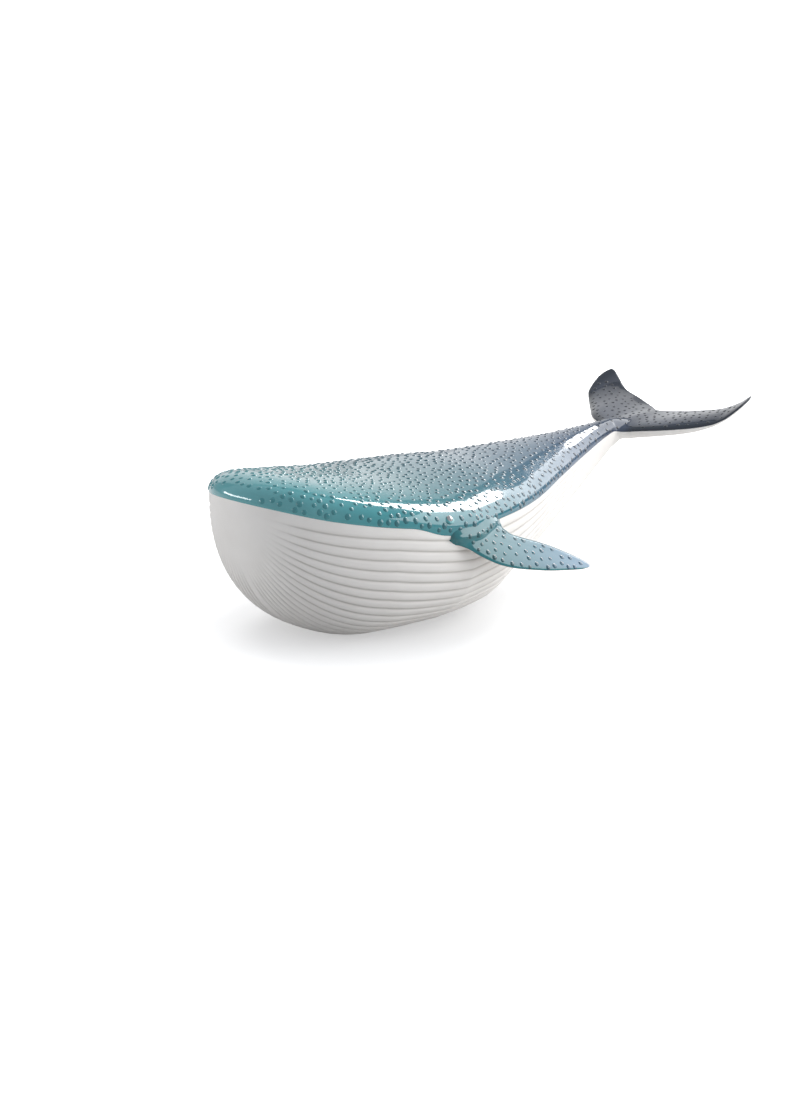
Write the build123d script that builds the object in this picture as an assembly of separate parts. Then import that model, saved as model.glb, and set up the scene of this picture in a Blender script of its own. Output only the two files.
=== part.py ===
from build123d import *
import math
import os

# A hollow porcelain whale that stands on its belly. The nose points along -X, the whale's left
# side along -Y, and the foot lies on the plane Z = 0, in the middle of the whole animal.
# All sizes are in millimetres. A station is a distance behind the nose.

# Hull
body_length = 392.0             # nose to the place where the tail stock runs out into the flukes
hull_half_breadth = 97.0        # half the greatest breadth, at the end of the head
head_length = 150.0             # nose to the greatest breadth, a half ellipse in plan
nose_height = 113.2             # height of the seam at the nose
bowl_length = 99.0              # nose to the touch-down of the keel, a quarter ellipse
crown_rise = 28.6               # crest of the back above the seam, at the end of the head
brow_length = 52.0              # length of the rounded brow
tail_keel_height = 87.0         # height of the keel at the end of the body
seam_dip = 4.6                  # how far the glaze runs down before the flipper
seam_dip_station = 92.0         # where the glaze starts to run down
seam_dip_run = 30.0             # length of that run
seam_return_station = 186.0     # where the seam is back at its own height
seam_return_run = 36.0

# Casting
wall = 5.0                      # shell thickness of the hull
floor_wall = 11.0               # the same over the foot, where the slip settles
foot_cut = 1.2                  # how much the foot is ground away
vent_diameter = 7.0             # firing vent in the foot
vent_station = 140.0
overrun = 5.0                   # how far a cutting form passes the face that it cuts

# Pleats of the throat
pleats_per_side = 18
pleat_depth = 0.9               # groove under the crowns on each side of it
pleat_start = 3.0               # first station with a groove
pleat_full = 30.0               # station where the grooves are at full depth
pleat_fan_length = 83.0         # ahead of it the pleats crowd away from the seam
pleat_end = 376.0               # last station with a groove
pleat_fade = 90.0               # length over which the grooves fade towards the tail

# Tail casting
stock_length = 20.0             # part of the tail stock that is cast with the flukes
spigot_length = 10.0            # plug that seats the casting in the hull's open end
spigot_clearance = 0.6
fluke_reach = 88.0              # end of the body to the rearmost point of the flukes
fluke_half_span = 78.8
fluke_root_height = 100.5       # leading edge at the middle
fluke_rise = 29.5               # that edge up to the highest point of the tips
fluke_thickness = 13.0          # at the middle
fluke_edge = 1.8                # thickness of the trailing edge

# Flippers
flipper_span = 47.0             # down the slope, from the hull to the lowest edge
flipper_sweep = 113.0           # front of the root to the rear of the tip, along X
flipper_station = 126.0         # front of the root
flipper_out = 94.5              # the same point, out from the middle plane
flipper_height = 77.5           # the same point, above the foot
flipper_slope = 47.0            # degrees below level
flipper_thickness = 6.4         # at the root
flipper_edge = 1.6              # thickness of the trailing edge
flipper_tenon = 14.0            # length of the root inside the hull

# Eyes
eye_station = 125.0
eye_height = 93.8
eye_diameter = 5.2
eye_rise = 1.5                  # height of the eye over its mound
eye_mound_diameter = 8.6
eye_mound_rise = 0.7
eye_sink = 0.8                  # how deep the mound is let into the glaze
eye_peg_diameter = 3.0
eye_peg_length = 4.0

# Outlines of the hull in shares: the first of each pair is a share of the body's length, and the
# second one of the half breadth, the nose's height, the crown's rise or the keel's height.
BREADTH_SHARES = ((0.3827, 1.0), (0.51, 0.861), (0.638, 0.655), (0.765, 0.417), (0.867, 0.242),
                  (0.949, 0.125), (1.0, 0.076))
SEAM_SHARES = ((0.0, 1.0), (0.102, 0.898), (0.23, 0.812), (0.383, 0.741), (0.485, 0.732),
               (0.587, 0.728), (0.765, 0.778), (0.893, 0.837), (1.0, 0.903))
CREST_SHARES = ((0.133, 0.857), (0.28, 0.878), (0.383, 0.888), (0.51, 0.888), (0.638, 0.797),
                (0.765, 0.654), (0.893, 0.475), (1.0, 0.295))
KEEL_SHARES = ((0.452, 0.0), (0.51, 0.014), (0.574, 0.11), (0.638, 0.216), (0.765, 0.427),
               (0.867, 0.64), (0.949, 0.85), (1.0, 1.0))
PLEAT_FAN_SHARE = 0.62          # how strongly the pleats crowd at the nose, 1 for not at all
SEAM_LAP_SHARE = 0.08           # of the top pleat, under the seam, where the wall is upright

# Squareness of the sections, from the head to the tail: 2 is an ellipse, more is boxier.
BELLY_SQUARENESS = (2.48, 2.09)
BACK_SQUARENESS = (2.29, 2.2)
BROW_SQUARENESS = 2.3
ROUND = 2.0

# Flukes in shares: of the half span, then of the reach to the leading and the trailing edge, of the
# rise of these two edges, and of the thickness.
FLUKE_SHARES = ((0.0, 0.075, 0.665, 0.0, 0.285, 1.0), (0.1, 0.085, 0.722, 0.0, 0.28, 0.98),
                (0.25, 0.13, 0.795, 0.05, 0.3, 0.94), (0.455, 0.227, 0.857, 0.11, 0.385, 0.86),
                (0.66, 0.392, 0.894, 0.166, 0.5, 0.72), (0.835, 0.539, 0.962, 0.268, 0.7, 0.46),
                (0.937, 0.626, 0.99, 0.4, 0.885, 0.28), (0.985, 0.69, 1.0, 0.52, 0.98, 0.2),
                (1.0, 0.76, 0.985, 0.68, 1.0, 0.12))
FLUKE_UPPER_SHARE = 0.36        # part of the thickness above the leading edge

# Tail stock inside the flukes, in shares: of the reach, of the half breadth at the body's end, and
# of the depth there for the top and the bottom.
STOCK_SHARES = ((0.0, 1.0, 1.0, 0.0), (0.12, 1.15, 1.0, 0.25), (0.25, 1.2, 0.95, 0.45),
                (0.38, 1.0, 0.9, 0.55))

# Flippers in shares: of the span down the slope, then of the sweep to the leading and the trailing
# edge, and of the thickness.
FLIPPER_SHARES = ((0.0, 0.0, 0.462, 1.0), (0.115, 0.048, 0.5, 0.98), (0.215, 0.1, 0.565, 0.95),
                  (0.353, 0.152, 0.675, 0.9), (0.472, 0.208, 0.76, 0.84), (0.579, 0.269, 0.823, 0.77),
                  (0.696, 0.372, 0.888, 0.68), (0.783, 0.485, 0.932, 0.6), (0.885, 0.642, 0.975, 0.5),
                  (0.962, 0.807, 0.995, 0.4), (1.0, 0.9, 0.98, 0.26))

# A blade's section: where its belly lies along the chord, and how far its control points pull.
BLADE_BELLY_SHARE = 0.42
BLADE_PULL_SHARE = 1.25

# Fineness of the lofts: sections along the hull, and points on a quarter of a section.
head_steps = 10
body_steps = 9
first_head_angle = 1.5          # degrees round the head's half ellipse, next to its nose
room_angle = 10.0               # the same for the room inside the hull
seam_steps = 28
stock_steps = 3
pleat_points = 90
arch_points = 8
ring_points = 6

whale_length = body_length + fluke_reach
tail_joint = body_length - stock_length


def ease(share):
    """A smooth step from 0 to 1 as the share goes from 0 to 1."""
    share = min(max(share, 0.0), 1.0)
    return share * share * (3 - 2 * share)


def fair(value, table, column=1):
    """The table's column at a value of its first column, on a fair curve through all its rows."""
    places, heights = [row[0] for row in table], [row[column] for row in table]
    if value <= places[0]:
        return heights[0]
    if value >= places[-1]:
        return heights[-1]
    slopes = [(b - a) / (q - p) for p, q, a, b in zip(places, places[1:], heights, heights[1:])]
    turns = [2 * m * n / (m + n) if m * n > 0 else 0.0 for m, n in zip(slopes, slopes[1:])]
    turns = [slopes[0]] + turns + [slopes[-1]]
    i = max(k for k in range(len(slopes)) if places[k] <= value)
    gap = places[i + 1] - places[i]
    t = (value - places[i]) / gap
    start = heights[i] * (1 + 2 * t) * (1 - t) ** 2 + turns[i] * gap * t * (1 - t) ** 2
    return start + heights[i + 1] * t * t * (3 - 2 * t) - turns[i + 1] * gap * t * t * (1 - t)


def blend(pair, station):
    """A value that goes from the pair's first to its second behind the head."""
    return pair[0] + (pair[1] - pair[0]) * ease((station - head_length) / (body_length - head_length))


def ellipse_rise(share):
    """Height of a quarter ellipse over its length, both 1."""
    left = 1 - min(max(share, 0.0), 1.0)
    return math.sqrt(1 - left * left)


def half_breadth(station, inset=0.0):
    """Half the hull's breadth: a half ellipse to the widest station, then a fair taper."""
    if station < head_length:
        return (hull_half_breadth - inset) * ellipse_rise((station - inset) / (head_length - inset))
    first = BREADTH_SHARES[0][0]
    share = first + (1 - first) * (station - head_length) / (body_length - head_length)
    return hull_half_breadth * fair(share, BREADTH_SHARES) - inset


def widest_height(station):
    """Height of the hull's widest line."""
    return nose_height * fair(station / body_length, SEAM_SHARES)


def seam_height(station):
    """Height of the seam between bisque and glaze: the widest line, with a dip before the flipper."""
    down = ease((station - seam_dip_station) / seam_dip_run)
    back = ease((seam_return_station - station) / seam_return_run)
    return widest_height(station) - seam_dip * down * back


def crest_rise(station, inset=0.0):
    """Crest of the back above the widest line: a rounded brow, then a fair line."""
    rise = crown_rise * fair(station / body_length, CREST_SHARES) - inset
    left = 1 - min((station - inset) / (brow_length - inset), 1.0)
    return rise * math.sqrt(1 - left ** BROW_SQUARENESS)


def keel_height(station, inset=0.0):
    """Height of the keel: a quarter-ellipse bowl, a flat run, then a fair rise to the tail."""
    bowl = (nose_height - inset) * (1 - ellipse_rise((station - inset) / (bowl_length - inset)))
    return bowl + tail_keel_height * fair(station / body_length, KEEL_SHARES) - foot_cut


def place(station, out, height):
    """A point of the whale, at an offset to its right and a height over the foot."""
    return (station - whale_length / 2, out, height)


def quarter_oval(out, up, squareness, count):
    """Points on a quarter of a superellipse, from its side to its top, at even angles."""
    angles = [math.pi / 2 * k / count for k in range(count)]
    power = 2 / squareness
    points = [(out * math.cos(t) ** power, up * math.sin(t) ** power) for t in angles]
    return points + [(0.0, up)]


def along(points, shares):
    """Points at the given shares of a line's length."""
    lengths = [0.0]
    for a, b in zip(points, points[1:]):
        lengths.append(lengths[-1] + math.dist(a, b))
    found = []
    for share in shares:
        goal = share * lengths[-1]
        i = max([k for k in range(len(points) - 1) if lengths[k] <= goal])
        t = (goal - lengths[i]) / (lengths[i + 1] - lengths[i])
        found.append([p + (q - p) * t for p, q in zip(points[i], points[i + 1])])
    return found


def past_seam(station, out, start, rise):
    """Three lines that carry a section past the seam, to be trimmed off there."""
    seam = seam_height(station)
    corners = [(-out, seam + start), (-out, seam + rise), (out, seam + rise), (out, seam + start)]
    return [Line(place(station, *a), place(station, *b)) for a, b in zip(corners, corners[1:])]


def belly_section(station):
    """Face across the belly: pleat crowns with grooves between them, up past the seam."""
    seam, out = seam_height(station), half_breadth(station)
    base = quarter_oval(out, keel_height(station) - seam, blend(BELLY_SQUARENESS, station), pleat_points)
    fan = PLEAT_FAN_SHARE + (1 - PLEAT_FAN_SHARE) * math.sqrt(min(station / pleat_fan_length, 1.0))
    shares = [(k / pleats_per_side) ** fan for k in range(pleats_per_side + 1)]
    roots = along(base, shares)
    crowns = along(base, [(a + b) / 2 for a, b in zip(shares, shares[1:])])
    depth = pleat_depth * ease((station - pleat_start) / (pleat_full - pleat_start))
    depth = depth * ease((pleat_end - station) / pleat_fade)
    roots[0][1] = SEAM_LAP_SHARE * roots[1][1]
    for root, (y0, z0), (y1, z1) in zip(roots[1:-1], crowns, crowns[1:]):
        run = math.hypot(y1 - y0, z1 - z0)
        root[0] += depth * (z1 - z0) / run
        root[1] -= depth * (y1 - y0) / run
    edges = past_seam(station, out, roots[0][1], overrun)
    for (ya, za), (yb, zb), (yc, zc) in zip(roots, roots[1:], crowns):
        yc, zc = 2 * yc - (ya + yb) / 2, 2 * zc - (za + zb) / 2
        for side in (-1, 1):
            ends = [place(station, side * y, seam + z) for y, z in ((ya, za), (yc, zc), (yb, zb))]
            edges.append(Bezier(*ends))
    return make_face(edges)


def back_section(station):
    """Face across the back: one fair arch, upright at both ends, and down past the seam."""
    level, out = widest_height(station), half_breadth(station)
    half = quarter_oval(out, crest_rise(station), blend(BACK_SQUARENESS, station), arch_points)
    half[0] = (out, seam_height(station) - level)
    both = [(-y, z) for y, z in half] + half[-2::-1]
    points = [place(station, y, level + z) for y, z in both]
    upright = (Vector(0, 0, 1), Vector(0, 0, -1))
    arch = Spline(*points, tangents=upright, tangent_scalars=(1.0, 1.0))
    return make_face([arch] + past_seam(station, out, 0.0, -overrun))


def seam_block(height):
    """Form from the seam to a level over or under it, across the whole hull."""
    stations = [body_length * k / seam_steps for k in range(seam_steps + 1)]
    seam = [place(station, -2 * hull_half_breadth, seam_height(station)) for station in stations]
    far = [place(station, -2 * hull_half_breadth, height) for station in (0.0, body_length)]
    face = make_face([Spline(*seam), Polyline(seam[0], far[0], far[1], seam[-1])])
    return extrude(face, 4 * hull_half_breadth, dir=(0, 1, 0))


def ring(station, middle, low, high):
    """Face inside a closed ring of two side curves that meet on the keel and on the crest."""
    sides = []
    for side in (1, -1):
        points = [place(station, side * y, middle + z) for y, z in low[::-1] + high[1:]]
        sides.append(Spline(*points, tangents=(Vector(0, side, 0), Vector(0, -side, 0))))
    return make_face(sides)


def room_section(station, inset):
    """Face across the room inside the hull, an inset in from the outside."""
    level, out = widest_height(station), half_breadth(station, inset)
    over_foot = ease((station - inset) / bowl_length) * ease((tail_joint - station) / head_length)
    floor = keel_height(station, inset) + inset + (floor_wall - wall) * over_foot
    low = quarter_oval(out, floor - level, blend(BELLY_SQUARENESS, station), ring_points)
    high = quarter_oval(out, crest_rise(station, inset), blend(BACK_SQUARENESS, station), ring_points)
    return ring(station, level, low, high)


def blade_section(at, front, rear, low, high, over, under, edge):
    """Face across a blade, from its round nose to a thin edge, bulging over and under its chord."""
    belly, height = front + BLADE_BELLY_SHARE * (rear - front), low + BLADE_BELLY_SHARE * (high - low)
    nose, top, bottom = at(front, low), at(rear, high), at(rear, high - edge)
    upper = Bezier(nose, at(front, low + over), at(belly, height + BLADE_PULL_SHARE * over), top)
    lower = Bezier(nose, at(front, low - under), at(belly, height - BLADE_PULL_SHARE * under), bottom)
    return make_face([upper, lower, Line(top, bottom)])


def flipper_section(drop):
    """Face across the left flipper at a distance down its slope."""
    share = drop / flipper_span
    front, rear = [flipper_sweep * fair(share, FLIPPER_SHARES, column) for column in (1, 2)]
    half_thick = flipper_thickness / 2 * fair(share, FLIPPER_SHARES, 3)
    fall, level = math.sin(math.radians(flipper_slope)), math.cos(math.radians(flipper_slope))

    def at(run, lift):
        out = flipper_out + drop * level + lift * fall
        return place(flipper_station + run, -out, flipper_height - drop * fall + lift * level)

    return blade_section(at, front, rear, 0.0, 0.0, half_thick, half_thick, min(flipper_edge, half_thick))


def fluke_section(share, side):
    """Face along the flukes at a share of their half span, on one side."""
    front, rear = [body_length + fluke_reach * fair(share, FLUKE_SHARES, column) for column in (1, 2)]
    low, high = [fluke_root_height + fluke_rise * fair(share, FLUKE_SHARES, column) for column in (3, 4)]
    thick = fluke_thickness * fair(share, FLUKE_SHARES, 5)
    over = thick * FLUKE_UPPER_SHARE

    def at(station, height):
        return place(station, side * share * fluke_half_span, height)

    return blade_section(at, front, rear, low, high, over, thick - over, min(fluke_edge, thick / 2))


def stock_section(station):
    """Face across the tail stock between the hull and the body's end."""
    seam, out = seam_height(station), half_breadth(station)
    low = quarter_oval(out, keel_height(station) - seam, blend(BELLY_SQUARENESS, station), ring_points)
    high = quarter_oval(out, crest_rise(station), blend(BACK_SQUARENESS, station), ring_points)
    return ring(station, seam, low, high)


def ridge_section(share, out_share, top_share, bottom_share):
    """Face across the stock's own end, a narrow ridge that sinks into the flukes."""
    keel = keel_height(body_length)
    depth = seam_height(body_length) + crest_rise(body_length) - keel
    half_up = depth * (top_share - bottom_share) / 2
    high = quarter_oval(half_breadth(body_length) * out_share, half_up, ROUND, ring_points)
    low = [(y, -z) for y, z in high]
    return ring(body_length + fluke_reach * share, keel + depth * top_share - half_up, low, high)


def hull_side(height):
    """How far out the hull's side lies over the seam, at the eye's station."""
    share = (height - widest_height(eye_station)) / crest_rise(eye_station)
    squareness = blend(BACK_SQUARENESS, eye_station)
    return half_breadth(eye_station) * (1 - share ** squareness) ** (1 / squareness)


def eye_form():
    """The left eye on its low mound, with the peg that holds it in the glaze."""
    eye, mound, peg = eye_diameter / 2, eye_mound_diameter / 2, eye_peg_diameter / 2
    crown = eye_mound_rise + eye_rise
    corners = [(eye, 0, eye_mound_rise), (mound, 0, 0), (mound, 0, -eye_sink), (peg, 0, -eye_sink),
               (peg, 0, -eye_peg_length), (0, 0, -eye_peg_length), (0, 0, crown)]
    half_way = (eye * math.sqrt(0.5), 0, eye_mound_rise + eye_rise * math.sqrt(0.5))
    dome = ThreePointArc((0, 0, crown), half_way, corners[0])
    form = revolve(make_face([Polyline(*corners), dome]), axis=Axis.Z)
    out = hull_side(eye_height)
    tilt = math.degrees(math.atan2(out - hull_side(eye_height + eye_diameter), eye_diameter))
    return Pos(*place(eye_station, -out, eye_height)) * Rot(X=90 - tilt) * form


def head_stations(inset, first):
    """Stations of the head at even angles round its half ellipse."""
    angles = [90.0 * k / head_steps for k in range(1, head_steps + 1)]
    angles = [first] + [angle for angle in angles if angle > first]
    return [inset + (head_length - inset) * (1 - math.cos(math.radians(angle))) for angle in angles]


def hull_stations(inset=0.0, first=first_head_angle):
    """Stations of the whole hull, from just behind the nose to the spigot's front and the joint."""
    run = tail_joint - head_length
    body = [head_length + run * k / body_steps for k in range(1, body_steps)]
    return head_stations(inset, first) + body + [tail_joint - spigot_length, tail_joint]


def both_sides(form):
    """A form and its mirror image across the whale's middle plane."""
    return form, mirror(form, about=Plane.XZ)


# Room inside the hull, open at the tail where the spigot plugs it
room = loft([room_section(station, wall) for station in hull_stations(wall, room_angle)])
room += extrude(room_section(tail_joint, wall), overrun, dir=(1, 0, 0))

# Flippers, let through the hull's wall
drops = [-flipper_tenon] + [flipper_span * row[0] for row in FLIPPER_SHARES]
flipper_forms = both_sides(loft([flipper_section(drop) for drop in drops]))

# Eyes
eye_forms = both_sides(eye_form())

# Hull: a bisque belly and a glazed back, trimmed to the same seam
belly = loft([belly_section(station) for station in hull_stations()])
back = loft([back_section(station) for station in hull_stations()])
belly = belly - room - seam_block(nose_height + 2 * overrun)
back = back - room - seam_block(0.0)
for form in flipper_forms:
    belly, back = belly - form, back - form
for form in eye_forms:
    back = back - form
under = (Align.CENTER, Align.CENTER, Align.MAX)
ground = Box(whale_length, 4 * hull_half_breadth, foot_cut + overrun, align=under)
vent = Cylinder(vent_diameter / 2, floor_wall + 2 * overrun, align=under)
belly = belly - ground - Pos(*place(vent_station, 0, floor_wall + overrun)) * vent

# Tail casting: stock, flukes and the spigot that plugs the hull
stock_run = [tail_joint + stock_length * k / stock_steps for k in range(stock_steps)]
stock = loft([stock_section(s) for s in stock_run] + [ridge_section(*row) for row in STOCK_SHARES])
spans = [row[0] for row in FLUKE_SHARES]
near_flukes = [fluke_section(span, -1) for span in reversed(spans)]
flukes = loft(near_flukes + [fluke_section(span, 1) for span in spans[1:]])
plug_run = [tail_joint - spigot_length * k / stock_steps for k in range(stock_steps + 1)]
spigot = loft([room_section(station, wall + spigot_clearance) for station in plug_run])
tail = stock + flukes + spigot

pieces = {
    "belly_shell": belly,
    "back_shell": back,
    "tail_flukes": tail,
    "left_flipper": flipper_forms[0] - room,
    "right_flipper": flipper_forms[1] - room,
    "left_eye": eye_forms[0],
    "right_eye": eye_forms[1],
}

os.makedirs("parts", exist_ok=True)
for name, piece in pieces.items():
    export_step(piece, f"parts/{name}.step")
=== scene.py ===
"""Looks of a slip-cast porcelain whale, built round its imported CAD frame.

All shapes are worked out in millimetres in the CAD frame: the nose points along -X, the whale's
left side along -Y, and the foot stands on Z = 0. A station is a distance behind the nose.
"""

import logging
import math
from abc import ABC, abstractmethod
from dataclasses import dataclass, field
from enum import Enum
from typing import Any, Callable

import bmesh
import bpy
import numpy as np
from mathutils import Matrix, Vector


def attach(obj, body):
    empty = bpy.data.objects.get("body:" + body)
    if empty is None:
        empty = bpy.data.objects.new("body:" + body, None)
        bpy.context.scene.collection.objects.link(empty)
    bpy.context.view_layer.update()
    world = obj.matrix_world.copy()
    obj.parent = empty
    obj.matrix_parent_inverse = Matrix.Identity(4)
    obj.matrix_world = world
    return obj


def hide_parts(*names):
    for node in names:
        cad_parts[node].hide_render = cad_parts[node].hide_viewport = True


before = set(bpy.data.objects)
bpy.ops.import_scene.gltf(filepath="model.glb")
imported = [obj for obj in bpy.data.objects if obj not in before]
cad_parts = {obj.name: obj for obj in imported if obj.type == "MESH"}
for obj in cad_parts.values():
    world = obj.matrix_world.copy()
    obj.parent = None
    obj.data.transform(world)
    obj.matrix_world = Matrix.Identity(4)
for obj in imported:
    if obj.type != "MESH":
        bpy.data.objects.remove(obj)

Array = np.ndarray
LOG = logging.getLogger("whale")
MM = 0.001
# Steps that a section's quarter is measured on, and a length that is as good as none.
OVAL_STEPS = 361
TINY = 1e-9


def linear(code: str) -> tuple[float, float, float, float]:
    """Turns an sRGB hex colour to linear light.

    Args:
        code: Six hex digits after a hash sign.

    Returns:
        Red, green, blue and an alpha of 1, where each channel c is c / 12.92 near black and
        ((c + 0.055) / 1.055) to the power 2.4 above that.
    """
    channels = [int(code[i:i + 2], 16) / 255 for i in (1, 3, 5)]
    curve = [c / 12.92 if c <= 0.04045 else ((c + 0.055) / 1.055) ** 2.4 for c in channels]
    return (*curve, 1.0)


def ease(share: Array | float) -> Array:
    """Smooth step from 0 to 1: three times the share squared less twice its cube."""
    share = np.clip(share, 0.0, 1.0)
    return share * share * (3 - 2 * share)


def fair(value: Array, table: tuple[tuple[float, ...], ...], column: int = 1) -> Array:
    """Reads a table on a fair curve through all its rows.

    Between two rows it is the cubic that has both heights and both slopes, and the slope at a row
    is the harmonic mean of its neighbours' slopes, or none where these turn round.

    Args:
        value: Places to read, in units of the first column.
        table: Rows that start with their place.
        column: Column to read.

    Returns:
        The column's value at each place.
    """
    rows = np.asarray(table, float)
    places, heights = rows[:, 0], rows[:, column]
    gaps = np.diff(places)
    slopes = np.diff(heights) / gaps
    product, total = slopes[:-1] * slopes[1:], slopes[:-1] + slopes[1:]
    inner = np.where(product > 0, 2 * product / np.where(product > 0, total, 1.0), 0.0)
    turns = np.concatenate([slopes[:1], inner, slopes[-1:]])
    value = np.clip(value, places[0], places[-1])
    i = np.clip(np.searchsorted(places, value, side="right") - 1, 0, len(gaps) - 1)
    t = (value - places[i]) / gaps[i]
    start = heights[i] * (1 + 2 * t) * (1 - t) ** 2 + turns[i] * gaps[i] * t * (1 - t) ** 2
    return start + heights[i + 1] * t * t * (3 - 2 * t) - turns[i + 1] * gaps[i] * t * t * (1 - t)


@dataclass(frozen=True)
class WhaleForm:
    """Sizes of the whale in millimetres, and the fair lines that its skins follow."""

    length: float = 480.0
    body_length: float = 392.0
    hull_half_breadth: float = 97.0
    head_length: float = 150.0
    nose_height: float = 113.2
    bowl_length: float = 99.0
    crown_rise: float = 28.6
    brow_length: float = 52.0
    tail_keel_height: float = 87.0
    seam_dip: float = 4.6
    seam_dip_station: float = 92.0
    seam_dip_run: float = 30.0
    seam_return_station: float = 186.0
    seam_return_run: float = 36.0
    foot_cut: float = 1.2
    tail_joint: float = 372.0
    eye_station: float = 125.0
    eye_height: float = 93.8
    brow_squareness: float = 2.3
    # Squareness of the sections at the head and at the hull's end: 2 is an ellipse.
    belly_squares: tuple = (2.48, 2.09)
    back_squares: tuple = (2.29, 2.2)
    # Rows of shares of the hull's length, each with the share of the size that it has there.
    breadth_shares: tuple = ((0.3827, 1.0), (0.51, 0.861), (0.638, 0.655), (0.765, 0.417),
                             (0.867, 0.242), (0.949, 0.125), (1.0, 0.076))
    seam_shares: tuple = ((0.0, 1.0), (0.102, 0.898), (0.23, 0.812), (0.383, 0.741),
                          (0.485, 0.732), (0.587, 0.728), (0.765, 0.778), (0.893, 0.837),
                          (1.0, 0.903))
    crest_shares: tuple = ((0.133, 0.857), (0.28, 0.878), (0.383, 0.888), (0.51, 0.888),
                           (0.638, 0.797), (0.765, 0.654), (0.893, 0.475), (1.0, 0.295))
    keel_shares: tuple = ((0.452, 0.0), (0.51, 0.014), (0.574, 0.11), (0.638, 0.216),
                          (0.765, 0.427), (0.867, 0.64), (0.949, 0.85), (1.0, 1.0))

    def along(self, station: Array) -> Array:
        """X in the CAD frame of a station."""
        return station - self.length / 2

    def station_of(self, points: Array) -> Array:
        """Stations of points in the CAD frame."""
        return points[..., 0] + self.length / 2

    def blend(self, pair: tuple[float, float], station: Array) -> Array:
        """Value that goes from the pair's first to its second behind the head."""
        run = self.body_length - self.head_length
        return pair[0] + (pair[1] - pair[0]) * ease((station - self.head_length) / run)

    def half_breadth(self, station: Array) -> Array:
        """Half the breadth: a half ellipse to the widest station, then a fair taper.

        Args:
            station: Stations to read.

        Returns:
            Half the breadth at each.
        """
        left = 1 - np.clip(station / self.head_length, 0.0, 1.0)
        head = np.sqrt(1 - left * left)
        first = self.breadth_shares[0][0]
        run = self.body_length - self.head_length
        share = first + (1 - first) * (station - self.head_length) / run
        taper = fair(share, self.breadth_shares)
        return self.hull_half_breadth * np.where(station < self.head_length, head, taper)

    def widest(self, station: Array) -> Array:
        """Height of the hull's widest line."""
        return self.nose_height * fair(station / self.body_length, self.seam_shares)

    def dip(self, station: Array) -> Array:
        """How far the glaze's lower edge dips under the widest line, before the flipper.

        Args:
            station: Stations to read.

        Returns:
            The dip at each.
        """
        down = ease((station - self.seam_dip_station) / self.seam_dip_run)
        back = ease((self.seam_return_station - station) / self.seam_return_run)
        return self.seam_dip * down * back

    def seam(self, station: Array) -> Array:
        """Height of the glaze's lower edge."""
        return self.widest(station) - self.dip(station)

    def crest(self, station: Array) -> Array:
        """Rise of the back over the widest line: a rounded brow, then a fair line.

        Args:
            station: Stations to read.

        Returns:
            The rise at each.
        """
        rise = self.crown_rise * fair(station / self.body_length, self.crest_shares)
        left = 1 - np.clip(station / self.brow_length, 0.0, 1.0)
        return rise * np.sqrt(1 - left ** self.brow_squareness)

    def keel(self, station: Array) -> Array:
        """Height of the keel: a quarter-ellipse bowl, a flat run, then a rise to the tail.

        Args:
            station: Stations to read.

        Returns:
            The height at each, below 0 where the foot is ground flat.
        """
        left = 1 - np.clip(station / self.bowl_length, 0.0, 1.0)
        bowl = self.nose_height * (1 - np.sqrt(1 - left * left))
        rise = self.tail_keel_height * fair(station / self.body_length, self.keel_shares)
        return bowl + rise - self.foot_cut

    def belly_squareness(self, station: Array) -> Array:
        """Squareness of the belly's sections: 2 is an ellipse, and more is boxier."""
        return self.blend(self.belly_squares, station)

    def back_squareness(self, station: Array) -> Array:
        """Squareness of the back's sections."""
        return self.blend(self.back_squares, station)

    def stations(self, head: int, step: float) -> Array:
        """Stations at even angles round the head's half ellipse, then at an even step.

        Args:
            head: Number of angles round the head.
            step: Distance between stations behind it, in millimetres.

        Returns:
            Stations from the nose to the tail joint.
        """
        angles = np.linspace(0.0, math.pi / 2, head)
        front = self.head_length * (1 - np.cos(angles))
        count = int(round((self.tail_joint - self.head_length) / step))
        return np.concatenate([front, np.linspace(self.head_length, self.tail_joint, count)[1:]])


def oval_quarter(out: Array, up: Array, squareness: Array, distance: Callable) -> tuple:
    """Points along a quarter of a superellipse, from its side to its top or bottom.

    The curve is out times cos(t) and up times sin(t), both to the power of 2 over the squareness.
    It is measured on fine steps, and the wanted points are read at their distances along it.

    Args:
        out: Half width of each row.
        up: Height of each row, negative for a curve that runs down.
        squareness: Squareness of each row.
        distance: Gives the wanted distances, rows by columns, from each row's whole length.

    Returns:
        Offsets, heights and distances from the side, each rows by columns.
    """
    t = np.linspace(0.0, math.pi / 2, OVAL_STEPS)[None, :]
    power = (2 / squareness)[:, None]
    y = out[:, None] * np.clip(np.cos(t), 0, 1) ** power
    z = up[:, None] * np.sin(t) ** power
    steps = np.hypot(np.diff(y, axis=1), np.diff(z, axis=1))
    length = np.concatenate([np.zeros((len(out), 1)), np.cumsum(steps, axis=1)], axis=1)
    whole = np.maximum(length[:, -1:], TINY)
    wanted = distance(whole)
    lane = 2.0 * np.arange(len(out))[:, None]
    flat = (length / whole + lane).ravel()
    query = (np.clip(wanted / whole, 0, 1) + lane).ravel()
    found = [np.interp(query, flat, values.ravel()).reshape(wanted.shape) for values in (y, z)]
    return found[0], found[1], wanted


def both_halves(half: Array) -> Array:
    """Joins a right half, from the side to the middle, to its mirror image on the left."""
    return np.concatenate([half * [1, -1, 1], half[:, -2::-1]], axis=1)


def capped(points: Array) -> Array:
    """Adds a pole at each end of a row of rings, in the middle of its last ring."""
    first, last = (np.broadcast_to(points[end].mean(axis=0), points[:1].shape) for end in (0, -1))
    return np.concatenate([first, points, last])


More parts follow.
